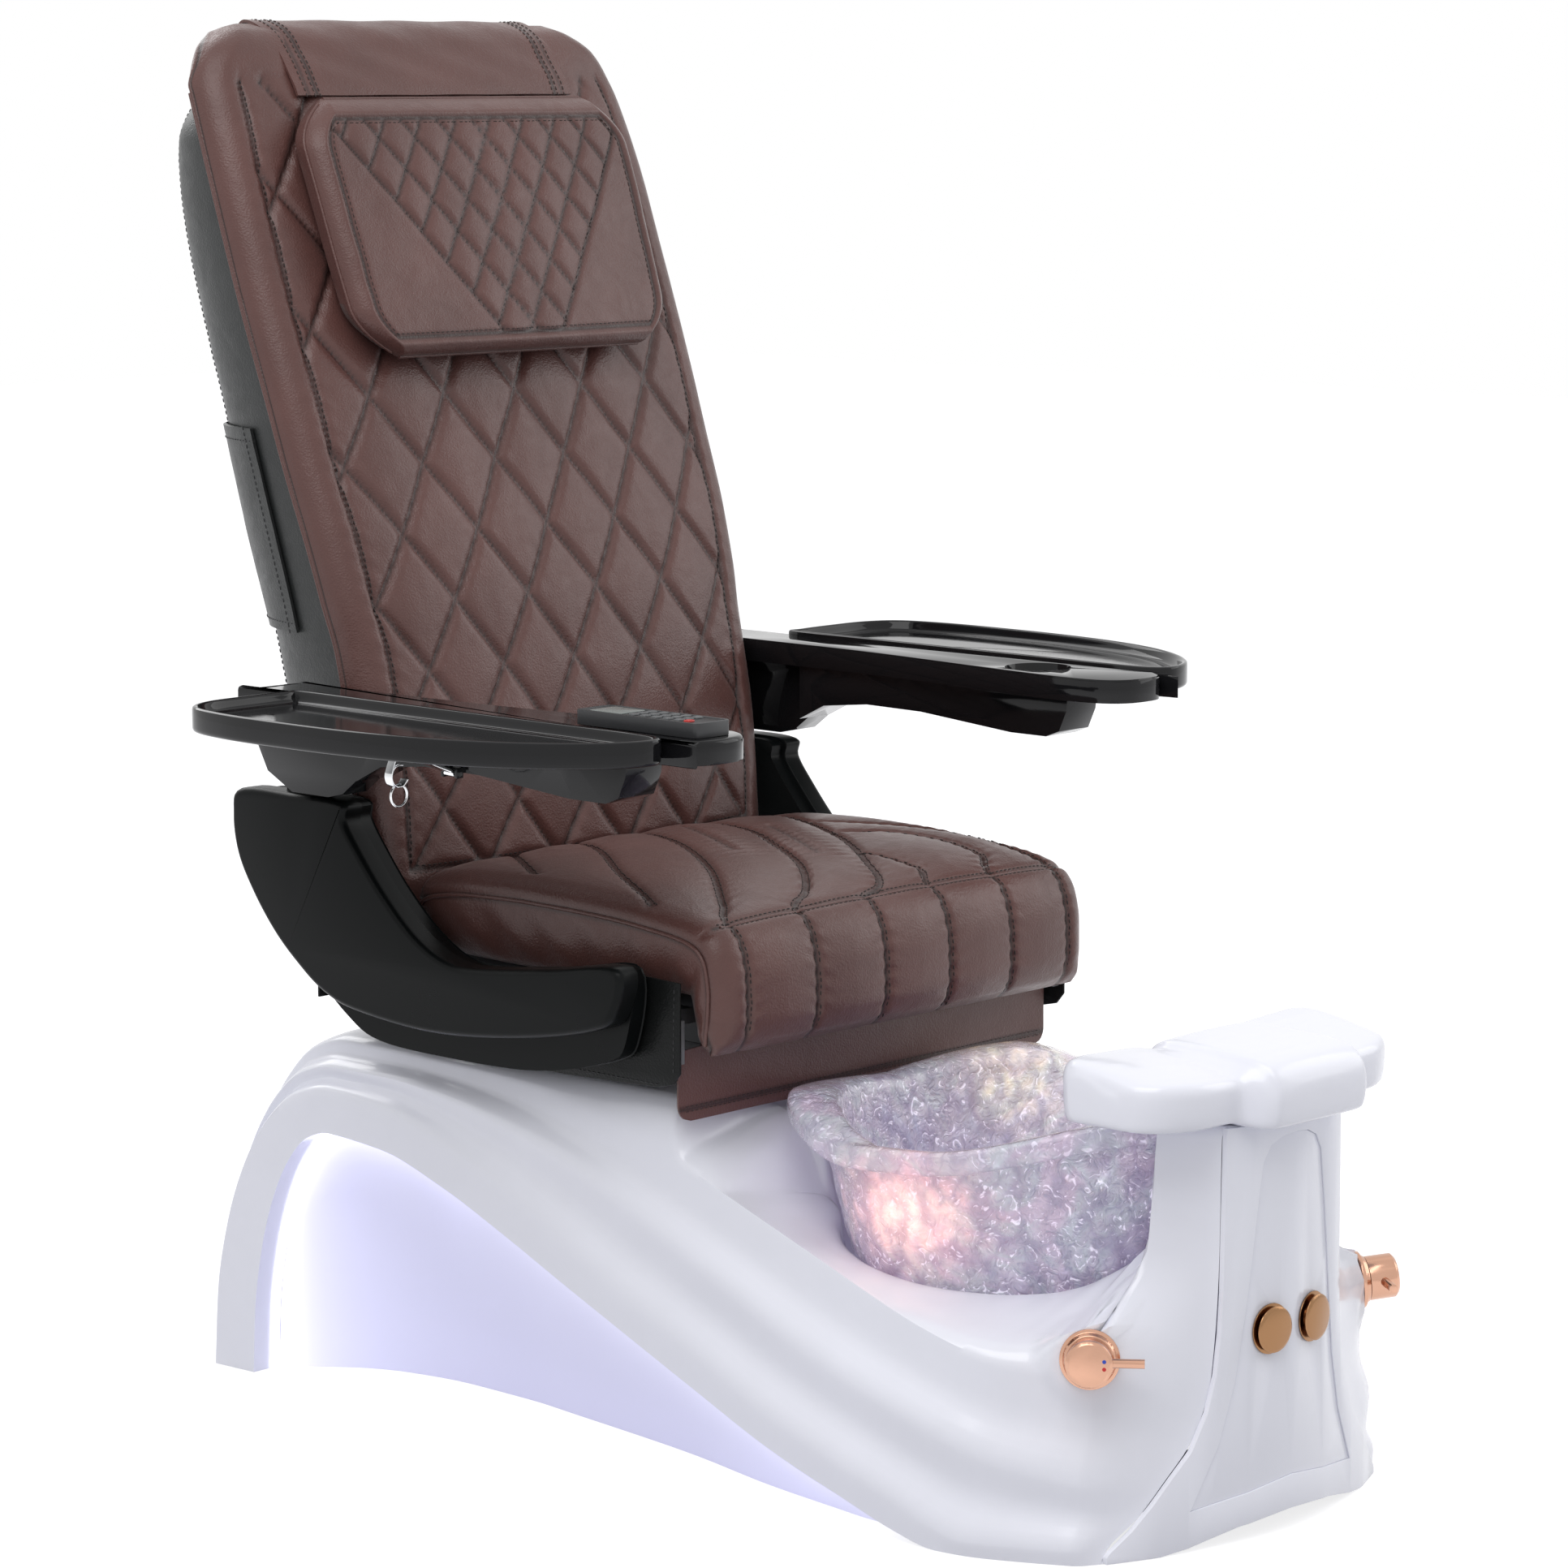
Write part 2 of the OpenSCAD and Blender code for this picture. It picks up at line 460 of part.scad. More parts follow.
module drain_fitting() { color("silver") translate([0, drain_y, 0]) difference() {
    union() {
      translate([0, 0, bowl_foot_z + glass_t + 0.3]) cylinder(h = 3, r1 = drain_r + 7, r2 = drain_r + 5);
      translate([0, 0, 112]) cylinder(h = bowl_foot_z + glass_t - 110, r = drain_r - 0.3);
      translate([0, 0, 118]) cylinder(h = bowl_foot_z - bowl_foot_h - shell_t - 0.3 - 118, r = drain_r + 11, $fn = 6);
      translate([0, 0, 66]) cylinder(h = 47, r = outlet_r);
    }
    difference() {
      union() {
        translate([0, 0, 118]) cylinder(h = 90, r = drain_r - 6);
        translate([0, 0, 60]) cylinder(h = 80, r = outlet_r - 3);
      }
      difference() {
        translate([-40, -3, 128]) cube([80, 6, 14]);
        cylinder(h = 200, r = 4.05);
      }
    }
} }
module drain_stopper() { color("silver") translate([0, drain_y, 0]) {
    translate([0, 0, bowl_foot_z + glass_t + 3.6]) cylinder(h = 5, r1 = drain_r, r2 = drain_r - 4);
    translate([0, 0, 122]) cylinder(h = bowl_foot_z + glass_t - 117, r = 4);
} }
module jet_housing() { color(soot) translate([0, jet_y, 0]) {
    translate([0, 0, 72]) cylinder(h = bowl_foot_z - 72.3, r = jet_r - 2);
    translate([0, 0, 66]) cylinder(h = 6, r = jet_r - 10);
} }
jet_r = 36;
module jet_cover() { color("gainsboro") translate([0, jet_y, bowl_foot_z + glass_t + 0.3]) difference() {
    union() {
      cylinder(h = 14, r = jet_r - 2);
      translate([0, 0, 14]) cylinder(h = 5, r1 = jet_r - 2, r2 = jet_r - 10);
    }
    for (a = [0:45:315]) rotate([0, 0, a]) translate([12, -2, 8]) cube([14, 4, 20]);
} }

// ---------- footrest ----------
rest_rear = -545;
rest_front = -688;
ridge_half_w = 74;
// Rounded section of the footrest as [y, z] points
function rest_section(rear, front, low, top_rear, top_front, r) = concat(
  [for (a = [180, 150, 120, 90]) [rear - r - r * cos(a), top_rear - r + r * sin(a)]],
  [for (a = [90, 60, 30, 0]) [front + r - r * cos(a), top_front - r + r * sin(a)]],
  [[front + 3, low + 6], [front + 9, low], [rear - 9, low], [rear - 3, low + 6]]);
function lobe(x, pull, cut, drop) = [for (p = rest_section(rest_rear - pull, rest_front + cut, rest_top - 60 + drop,
  rest_top - drop, rest_top - 24 - drop, 20)) [x, p[0], p[1]]];
function ridge(x, drop) = [for (p = rest_section(rest_rear - 8, rest_front - 36 + drop, column_top + 0.3,
  rest_top + 6 - drop, rest_top + 2 - drop, 34)) [x, p[0], p[1]]];
rest_half = [lobe(rest_half_w, 16, 62, 12), lobe(rest_half_w - 4, 8, 44, 5), lobe(rest_half_w - 14, 2, 28, 1),
             lobe(rest_half_w - 32, 0, 14, 0), lobe(rest_half_w - 60, 0, 4, 1),
             lobe(ridge_half_w + 16, 0, 0, 3), ridge(ridge_half_w, 9),
             ridge(ridge_half_w - 8, 2), ridge(0, 0)];
function flipped(ring) = [for (p = ring) [-p[0], p[1], p[2]]];
module footrest_pad() {
  color(white) loft(concat(rest_half, [for (i = [len(rest_half) - 2:-1:0]) flipped(rest_half[i])]));
}
module footrest_post() { color(steel) {
    bar([-22, -648, foot_h + frame_tube + 0.3], [22, -624, column_top - shell_t - 1]);
    bar([-60, -600, foot_h + frame_tube + 0.3], [60, -572, foot_h + frame_tube + 6]);
    bar([-22, -624, foot_h + frame_tube + 0.3], [22, -590, foot_h + frame_tube + 6]);
} }

// ---------- slide under the seat ----------
rail_x = 150;
rail_front = deck_front + 4;
rail_rear = 368;
rail_top = deck_z + 18.3;
screw_z = deck_z + 16;
screw_r = 6;
module slide_rails() { color(steel) for (s = [-1, 1]) {
    bar([s * rail_x - 12, rail_front, deck_z + 0.3], [s * rail_x + 12, rail_rear, deck_z + 6]);
    bar([s * rail_x - 5, rail_front, deck_z + 6], [s * rail_x + 5, rail_rear, rail_top - 4]);
    bar([s * rail_x - 9, rail_front, rail_top - 4], [s * rail_x + 9, rail_rear, rail_top]);
} }
module slide_motor() { color(soot) {
    bar([-32, rail_front, deck_z + 0.3], [32, rail_front + 60, deck_z + 29]);
    rod_y(rail_front + 60, 350, 0, screw_z, screw_r);
    bar([-20, 350, deck_z + 0.3], [20, rail_rear - 2, deck_z + 29]);
} }

// ---------- seat ----------
pivot_y = 335;
pivot_z = 500;
pivot_r = 8;
seat_pan_z = 482;
pan_t = 15;
shell_in = seat_half_w + 23;   // inner face of each side shell
arm_pivot = [375, 712]; // [y, z]
carriage_z = rail_top + 12.3;
skirt_rail = seat_half_w + 3;  // inner face of the rails that carry the side skirts
module seat_carriage() { color(steel) { difference() {
    union() {
      for (s = [-1, 1]) {
        // runner blocks that straddle the rails
        for (y = [-50, 200]) {
          bar([s * rail_x - 16, y, rail_top + 0.3], [s * rail_x + 16, y + 50, carriage_z]);
          for (x = [s * rail_x - 12.5, s * rail_x + 12.5])
            bar([x - 3, y, rail_top - 9], [x + 3, y + 50, carriage_z]);
        }
        bar([s * rail_x - 15, -100, carriage_z], [s * rail_x + 15, 320, carriage_z + 30]);
        at_side(s) {
          for (y = [-90, 60, 210]) bar([rail_x, y, carriage_z + 30], [rail_x + 15, y + 25, seat_pan_z - 0.3]);
          // outriggers that carry the side shells
          for (y = [40, 300]) bar([rail_x + 15, y, 452], [shell_in - 0.3, y + 26, 474]);
          bar([rail_x, 296, carriage_z + 30], [rail_x + 15, 320, 474]);
          bar([262, 312, 452], [270, 352, pivot_z + 18]);
          for (y = [-100, 20]) bar([rail_x + 15, y, 458], [skirt_rail + 10, y + 12, 474]);
          bar([skirt_rail, -144, 430], [skirt_rail + 10, 276, 474]);
        }
      }
      bar([-rail_x + 15, -100, carriage_z], [rail_x - 15, -70, carriage_z + 30]);
      for (y = [60, 290]) bar([-rail_x + 15, y, carriage_z], [rail_x - 15, y + 30, carriage_z + 10]);
      bar([-18, 60, screw_z - 12], [18, 90, carriage_z + 12]);
      for (s = [-1, 1]) bar([s * 22 - 3, -92, carriage_z + 30], [s * 22 + 3, -60, 478]);
    }
    rod_y(-200, 200, 0, screw_z, screw_r + 0.05);
    rod_x(-400, 400, pivot_y, pivot_z, pivot_r + 0.05);
  }
  rod_x(-25, 25, actuator_pin[0], actuator_pin[1], 5);
} }
module seat_pan() { color(soot) bar([-258, seat_front + 3.3, seat_pan_z], [258, 236, seat_pan_z + pan_t]); }
// Path of the cushion's top and front as [y, z], rear to front, and of its underside
seat_over = [[250, -34], [246, -16], [222, -5], [160, 2], [90, 4], [20, 3], [-50, 0], [-110, -6], [-152, -13],
             [-176, -24], [-190, -44], [-197, -75], [-198, -110], [-192, -135], [-178, -149]];
seat_under = [[244, 545], [236, 520], [210, 501], [150, 498], [90, 497.3], [30, 497.3], [-30, 497.3],
              [-80, 497.3], [-110, 497.3], [-126, 497.3], [-137, 497], [-143, 482], [-147, 464], [-153, 450],
              [-164, 441]];
channel_w = 96;
channel_depth = 7;
seat_cols = concat([-1, -0.985, -0.94], [for (k = [-10:10]) k * channel_w / 4 / seat_half_w], [0.94, 0.985, 1]);
// Unit vector across the seat path at point i
function seat_out(i) = let (a = seat_over[max(0, i - 1)], b = seat_over[min(len(seat_over) - 1, i + 1)],
  d = unit([b[0] - a[0], b[1] - a[1], 0])) [-d[1], d[0]] * -1;
function seat_point(i, u) =
  let (x = u * seat_half_w, a = abs(u), o = seat_out(i),
       groove = a < 0.87 ? channel_depth * pow(cos(180 * (x / channel_w - 0.5)), 2) : 0,
       hold = min(1, (i + 0.3) / 2.6, (len(seat_over) - 0.6 - i) / 2.6),
       crown = 7 * (1 - u * u), roll = hold * (a > 0.99 ? 34 : a > 0.96 ? 12 : a > 0.9 ? 3 : 0),
       d = crown - groove - roll)
  [x, seat_over[i][0] + o[0] * d, seat_top + seat_over[i][1] + o[1] * d];
module seat_cushion() {
  color(brown) sheet(
    [for (i = [0:len(seat_over) - 1]) [for (u = seat_cols) seat_point(i, u)]],
    [for (i = [0:len(seat_over) - 1]) [for (u = seat_cols)
      [u * (seat_half_w - 16), seat_under[i][0], seat_under[i][1] + (abs(u) > 0.96 ? 5 : 0)]]]);
}
flap_half_w = seat_half_w + 1;
module front_flap() { color(brown) {
    translate([0, seat_front + 3, 0]) rotate([90, 0, 0]) linear_extrude(3)
      polygon([[-flap_half_w, 440], [-flap_half_w, 385], [-flap_half_w + 5, 373], [-flap_half_w + 17, 368],
               [flap_half_w - 17, 368], [flap_half_w - 5, 373], [flap_half_w, 385], [flap_half_w, 440]]);
    bar([-250, seat_front, 440], [250, seat_front + 3, 494]);
} }
module side_skirt(side) { color(black) at_side(side)
  slab_x(skirt_rail + 10.5, skirt_rail + 13.5,
    [[-150, 514], [-88, 516], [-84, 451], [262, 451], [262, 398], [8, 400], [-118, 405], [-140, 410], [-150, 422]]);
}
module rear_skirt() { color(black) {
    bar([-skirt_rail - 6, 392, 430], [skirt_rail + 6, 395, 518]);
    for (s = [-1, 1]) at_side(s) bar([skirt_rail, 326.5, 452], [skirt_rail + 6, 392, 474]);
} }
// Outlines of a side shell as [y, z]: the outer face, and the deeper part behind it
shell_face = [[-112, 530], [-20, 519], [78, 507], [130, 507], [180, 528], [228, 568], [268, 612], [286, 636],
              [290, 656], [370, 658], [450, 656], [462, 628], [455, 586], [432, 547], [400, 509], [366, 480],
              [324, 453], [272, 438], [157, 430], [31, 441], [-75, 462], [-108, 484]];
shell_back = [[-104, 524], [-20, 515], [78, 503], [134, 503], [185, 526], [233, 566], [273, 611], [291, 636],
              [296, 654], [370, 655], [440, 653], [452, 628], [445, 588], [424, 549], [392, 509], [361, 466],
              [312, 426], [262, 405], [157, 401], [31, 405], [-70, 427], [-100, 452]];
shell_w = 46;
shell_step = 19;        // depth of the part behind the outer face
shell_bevel = [[6, 0.6], [4, 1.6], [2, 3.4], [0, 6.5]];   // [depth, inset] of each step of the rounded edge
module side_shell(side) { color(soot) at_side(side) difference() {
    union() {
      slab_x(shell_in, shell_in + shell_step, rounded(shell_back, 2));
      slab_x(shell_in + shell_step, shell_in + shell_w - 8, rounded(shell_face, 2));
      for (b = shell_bevel)
        slab_x(shell_in + shell_w - 8, shell_in + shell_w - b[0], inset(rounded(shell_face, 2), -b[1]));
      rod_x(shell_in, shell_in + 20, arm_pivot[0], arm_pivot[1], 30);
      bar([shell_in, arm_pivot[0] - 28, 640], [shell_in + 20, arm_pivot[0] + 28, arm_pivot[1]]);
    }
    rod_x(shell_in - 5, shell_in + 40, arm_pivot[0], arm_pivot[1], pivot_r);
} }

// ---------- recline drive ----------
actuator_pin = [-76, 466];      // [y, z]
lever_pin = [pivot_y, pivot_z - 62];
lever_pin_r = 4.5;
module along_actuator() {
  d = lever_pin - actuator_pin;
  translate([0, actuator_pin[0], actuator_pin[1]]) rotate([atan2(d[1], d[0]), 0, 0]) children();
}
actuator_len = norm(lever_pin - actuator_pin);
module recline_actuator() { color(soot) along_actuator() difference() {
    union() {
      rod_x(-17, 17, 0, 0, 9);
      bar([-15, 0, -9], [15, 40, 9]);
      rod_y(40, actuator_len - 90, 0, 0, 13);
      rod_y(45, 130, 24, 0, 12);
      bar([0, 45, -9], [24, 75, 9]);
    }
    rod_x(-30, 30, 0, 0, 5.05);
    rod_y(120, actuator_len, 0, 0, 7.05);
} }
module actuator_rod() { color(steel) along_actuator() difference() {
    union() {
      rod_y(200, actuator_len - 8, 0, 0, 7);
      rod_x(-8, 8, actuator_len, 0, 10);
    }
    rod_x(-30, 30, actuator_len, 0, lever_pin_r + 2);
} }

// ---------- back ----------
lean = 18;
module leaned() { translate([0, pivot_y, pivot_z]) rotate([-lean, 0, 0]) children(); }
frame_len = 880;
rail_in = 210;          // inner face of the back frame's side tubes
rail_out = 234;
// How far a pad on the frame, at a length up it, reaches forward to the cushion's rear
function pad_reach(up, guess = 40, turns = 4) = let (z = pivot_z + up * cos(lean) + guess * sin(lean),
  d = (pivot_y + up * sin(lean) - back_front(z) - back_pad_t - 0.6) / cos(lean))
  turns == 0 ? d : pad_reach(up, d, turns - 1);
module back_frame() { color(steel) {
    leaned() difference() {
      union() {
        for (s = [-1, 1]) at_side(s) {
          bar([rail_in, -12, -14], [rail_out, 12, frame_len]);
          for (up = [120, frame_len - 80])
            bar([rail_in - 60, -min(pad_reach(up - 6), pad_reach(up + 6)), up - 6], [rail_out, -6, up + 6]);
          bar([rail_out - 4, -12, frame_len / 2], [cover_half_w - 10, -6, frame_len / 2 + 30]);
        }
        for (z = [10, frame_len - 24]) bar([-rail_in, -12, z], [rail_in, 12, z + 24]);
        bar([-rail_out, 12, frame_len / 2 - 10], [rail_out, 28, frame_len / 2 + 14]);
      }
      rod_x(-300, 300, 0, 0, pivot_r);
    }
    for (s = [-1, 1]) at_side(s) rod_x(rail_in, 274, pivot_y, pivot_z, pivot_r);
    for (s = [-1, 1]) difference() {
      slab_x(s * 14 - 3, s * 14 + 3, [[pivot_y - 8, lever_pin[1] - 7], [pivot_y + 8, lever_pin[1] - 7],
                                      [pivot_y + 22, pivot_z + 14], [pivot_y - 4, pivot_z + 14]]);
      rod_x(-40, 40, lever_pin[0], lever_pin[1], lever_pin_r);
    }
    rod_x(-17, 17, lever_pin[0], lever_pin[1], lever_pin_r);
} }
massage_low = 170;
module massage_carriage() { color(soot) leaned() {
    bar([-rail_in + 5, -24, massage_low + 30], [rail_in - 5, -12.5, massage_low + 90]);
    bar([-110, -12.5, massage_low], [110, 8, massage_low + 120]);
    for (s = [-1, 1]) at_side(s) {
      bar([rail_in - 14, -13, massage_low + 40], [rail_in - 0.3, 8, massage_low + 80]);
      for (z = [25, 95]) {
        bar([58, -34, massage_low + z - 5], [66, -12.5, massage_low + z + 5]);
        translate([62, -34, massage_low + z]) sphere(r = 16, $fn = 24);
      }
    }
} }
// Front of the back cushion at its middle, as height against y
back_line = [[522, 262], [600, 268], [700, 276], [800, 296], [900, 324], [1000, 360], [1070, 384], [1200, 432],
             [1300, 468], [1390, 506], [1430, 532]];
back_over_top = [[540, 1441], [556, 1453], [576, 1459]];
back_under_top = [[510, 1400], [520, 1424], [526, 1443]];   // [y short of the pad's thickness, height]
quilt_z = 1066;         // height of a row of crossings with one on the middle line
back_rows = [for (k = [-15:9]) quilt_z + k * diamond_h / 4];
back_crown = 22;
tuft_depth = 9;
function back_front(z) = curve(back_line, z);
function back_half(z) = back_half_w - curve([[522, 32], [560, 20], [800, 19], [860, 12], [1000, 4], [1200, 0],
                                             [1390, 8], [1430, 30], [1450, 58], [1460, 82]], z);
back_cols = [for (k = [-8:8]) k * diamond_w / 4];
function seam(t) = pow(cos(180 * t), 6);
function tuft(x, z) = z > 1392 ? 0 :
  tuft_depth * max(seam(x / diamond_w + (z - quilt_z) / diamond_h), seam(x / diamond_w - (z - quilt_z) / diamond_h));
function back_row(y, z, plain) = let (w = back_half(z))
  concat([[-w, y + back_crown + 24, z], [-0.975 * w, y + back_crown, z]],
         [for (x = back_cols) [x, y + back_crown * pow(abs(x) / w, 3) + (plain ? 0 : tuft(x, z)), z]],
         [[0.975 * w, y + back_crown, z], [w, y + back_crown + 24, z]]);
function back_rear_row(y, z) = let (w = back_half(z) - 10)
  concat([[-w, y, z], [-0.97 * w, y, z]], [for (x = back_cols) [x, y, z]], [[0.97 * w, y, z], [w, y, z]]);
module back_cushion() {
  color(brown) sheet(
    concat([for (z = back_rows) back_rear_row(back_front(z) + back_pad_t, max(z, 534))],
           [for (p = back_under_top) back_rear_row(p[0] + back_pad_t, p[1])]),
    concat([for (z = back_rows) back_row(back_front(z), z, false)],
           [for (p = back_over_top) back_row(p[0], p[1], true)]));
}
// Rear of the leather back cover, as height against y
cover_line = [[590, 440], [610, 505], [660, 542], [737, 566], [807, 580], [921, 622], [1044, 658], [1158, 694],
              [1264, 718], [1330, 714], [1375, 692], [1400, 655], [1412, 620]];
cover_rows = concat([590], [for (i = [2:2:24]) back_rows[i]], [1402, 1411]);
cover_half_w = 272;
function cover_point(z, a, d) =
  let (front = back_front(z) + back_pad_t + 0.8, deep = curve(cover_line, z) - front,
       w = cover_half_w - 16 * ease((820 - z) / 200) - 40 * ease((z - 1330) / 90), c = cos(a), s = sin(a))
  [(w - d) * sign(c) * pow(abs(c), 0.6), front + (deep - d) * pow(s, 0.7), z];
module back_cover() {
  color(black) sheet([for (z = cover_rows) [for (k = [0:14]) cover_point(z, k * 180 / 14, 5)]],
                     [for (z = cover_rows) [for (k = [0:14]) cover_point(z, k * 180 / 14, 0)]]);
}
pocket_rows = [for (i = [8:2:14]) back_rows[i]];
module back_pocket() {
  color(black) sheet([for (z = pocket_rows) [for (k = [1:13]) cover_point(z, k * 180 / 14, -0.4)]],
                     [for (z = pocket_rows) [for (k = [1:13]) cover_point(z, k * 180 / 14, -5)]]);
}

// ---------- head pillow ----------
pillow_low = 1108;
pillow_high = 1379;
// Half the width of the pillow, t from its bottom to its top, with rounded corners
function pillow_half(t) = pillow_half_w - 10 * pow(1 - t, 2) - 48 * pow(max(0, 1 - 5 * t), 2)
  - 46 * pow(max(0, 5 * t - 4), 2);
pillow_cols = [-1, -0.965, -0.86, -0.72, -0.576, -0.432, -0.288, -0.144, 0,
               0.144, 0.288, 0.432, 0.576, 0.72, 0.86, 0.965, 1];
pillow_rows = [0, 0.035, 0.12, 0.24, 0.36, 0.48, 0.6, 0.72, 0.86, 0.965, 1];
function edge(t) = let (a = min(t, 1 - t)) a < 0.01 ? 0.45 : a < 0.05 ? 0.86 : 1;
function pillow_quilt(x, t) = abs(x) > pillow_half_w * mix(0.25, 0.9, t) || t < 0.05 || t > 0.95 ? 0
  : 4 * pow(cos(180 * (x / 56 + t * 4)), 2);
function pillow_front(t, u) =
  let (z = mix(pillow_low, pillow_high, t), x = u * pillow_half(t),
       side = abs(u) > 0.99 ? 0.45 : abs(u) > 0.95 ? 0.86 : 1,
       d = pillow_t * min(side, edge(t)) * (0.80 + 0.20 * cos(80 * u)) - pillow_quilt(x, t))
  [x, back_front(z) - 0.6 - d, z];
function pillow_rear(t, u) = let (z = mix(pillow_low + 4, pillow_high - 4, t))
  [u * (pillow_half(t) - 5), back_front(z) - 0.6, z];
module head_pillow() {
  color(brown) sheet([for (t = pillow_rows) [for (u = pillow_cols) pillow_rear(t, u)]],
                     [for (t = pillow_rows) [for (u = pillow_cols) pillow_front(t, u)]]);
}
flap_path = concat([for (z = [1384, 1398, 1412, 1426]) [back_front(z), z]], back_over_top, [[590.5, 1452]]);
strap_half_w = 205;
flap_cols = [-1, -0.8, -0.6, -0.4, -0.2, 0, 0.2, 0.4, 0.6, 0.8, 1];
// Unit vector away from the cushion at point i of the flap's path, as [y, z]
function flap_out(i) = let (a = flap_path[max(0, i - 1)], b = flap_path[min(len(flap_path) - 1, i + 1)],
  d = unit([b[0] - a[0], b[1] - a[1], 0])) [-d[1], d[0]];
function flap_point(i, u, d) =
  let (x = u * strap_half_w, p = flap_path[i], o = flap_out(i))
  [x, p[0] + back_crown * pow(abs(x) / back_half(p[1]), 3) + d * o[0], p[1] + d * o[1]];
module pillow_flap() {
  color(brown) sheet([for (i = [0:len(flap_path) - 1]) [for (u = flap_cols) flap_point(i, u, 0.8)]],
                     [for (i = [0:len(flap_path) - 1]) [for (u = flap_cols) flap_point(i, u, 4)]]);
}

// ---------- arms ----------
arm_top_z = 770;
arm_body_x = shell_in + 6;
tray_axis = [arm_edge_x - 1, arm_top_z - arm_plate_t - 7];   // [x, z]
tray_hinge_y = [-60, 200];
strut_pivot = [arm_body_x + arm_body_w + 4.5, arm_top_z - arm_plate_t - 37];   // [x, z]
strut_y = 105;
module arm_body(side) { color(black) at_side(side) difference() {
    union() {
      slab_x(arm_body_x, arm_body_x + arm_body_w,
        [[-140, arm_top_z - arm_plate_t], [-138, 726], [-128, 704], [-110, 697], [-60, 697], [0, 702], [70, 708],
         [150, 709], [215, 702], [252, 684], [252, arm_top_z - arm_plate_t]]);
      slab_x(shell_in + 21.5, arm_body_x + arm_body_w,
        [[250, arm_top_z - arm_plate_t], [250, 686], [274, 668], [296, 663], [352, 663], [390, 682], [407, 712],
         [400, arm_top_z - arm_plate_t]]);
      for (y = tray_hinge_y) {
        rod_y(y, y + 18, tray_axis[0], tray_axis[1], 5);
        bar([arm_body_x + arm_body_w - 1, y, tray_axis[1] - 4], [tray_axis[0], y + 18, tray_axis[1] + 4]);
        rod_y(y + 18, y + 38, tray_axis[0], tray_axis[1], 2.5);
      }
      for (d = [-12, 8]) bar([arm_body_x + arm_body_w - 1, strut_y + d, strut_pivot[1] - 5],
                             [strut_pivot[0] + 3, strut_y + d + 4, strut_pivot[1] + 5]);
      rod_y(strut_y - 12, strut_y + 12, strut_pivot[0], strut_pivot[1], 2);
    }
    rod_x(shell_in, arm_body_x + arm_body_w - 8, arm_pivot[0], arm_pivot[1], pivot_r + 0.05);
} }
// Outline of an armrest from its outer edge inwards, as [x, y]
arm_outline = [[0, 380], [-6, 394], [-20, 400], [-50, 400], [-63, 394], [-67, 380], [-69, 200],
               [-77, 80], [-92, -50], [-100, -140], [-98, -195], [-88, -222], [-68, -236], [-38, -238],
               [-18, -232], [-5, -216], [0, -196]];
function arm_plan() = rounded([for (p = arm_outline) [arm_edge_x + p[0], p[1]]], 3);
cup_pos = [324, -88];
module arm_top(side) { color(black) at_side(side) difference() {
    union() {
      slab_z(arm_top_z - arm_plate_t, arm_top_z - 2, arm_plan());
      slab_z(arm_top_z - 2, arm_top_z, inset(arm_plan(), 2));
    }
    if (side > 0) translate([cup_pos[0], cup_pos[1], arm_top_z - arm_plate_t + 4]) cylinder(h = 60, r = cup_r);
} }
module arm_pins() { color(steel) for (s = [-1, 1]) at_side(s) {
    rod_x(shell_in - 3, arm_body_x + arm_body_w - 10, arm_pivot[0], arm_pivot[1], pivot_r);
    rod_x(shell_in - 6, shell_in, arm_pivot[0], arm_pivot[1], 12);
} }
tray_low = arm_top_z - arm_plate_t + 3;
tray_drawn_w = 186;     // reach of the outline below, before it is fitted to tray_w
tray_outline = [[0, 318], [0, 200], [0, 60], [0, -80], [0, -168], [8, -206], [34, -214], [74, -196], [116, -152],
                [150, -92], [172, -20], [184, 70], [186, 160], [182, 240], [166, 300], [128, 326], [70, 330],
                [20, 328]];
function tray_plan() = [for (p = tray_outline) [arm_edge_x + 2 + p[0] * tray_w / tray_drawn_w, p[1]]];
module tray(side) { color(black) at_side(side) {
    difference() {
      union() {
        slab_z(tray_low, tray_low + 3, inset(tray_plan(), 3));
        slab_z(tray_low + 3, tray_low + tray_t + 6, rounded(tray_plan(), 3));
      }
      slab_z(tray_low + tray_t - 6, tray_low + tray_t + 10, inset(tray_plan(), 12));
      slab_z(tray_low + tray_t, tray_low + tray_t + 10, inset(tray_plan(), 7));
    }
    for (y = tray_hinge_y) difference() {
      union() {
        rod_y(y + 18.5, y + 37, tray_axis[0], tray_axis[1], 5.5);
        bar([tray_axis[0] + 4, y + 18.5, tray_axis[1] - 3], [tray_axis[0] + 30, y + 37, tray_axis[1] + 5.5]);
        bar([arm_edge_x + 6, y + 18.5, tray_axis[1]], [tray_axis[0] + 30, y + 37, tray_low + 1]);
      }
      rod_y(y, y + 50, tray_axis[0], tray_axis[1], 2.55);
    }
} }
strut_tip = [arm_edge_x + 84, tray_low - 3.5];
strut_angle = atan2(strut_tip[1] - strut_pivot[1], strut_tip[0] - strut_pivot[0]);
strut_len = norm(strut_tip - strut_pivot);
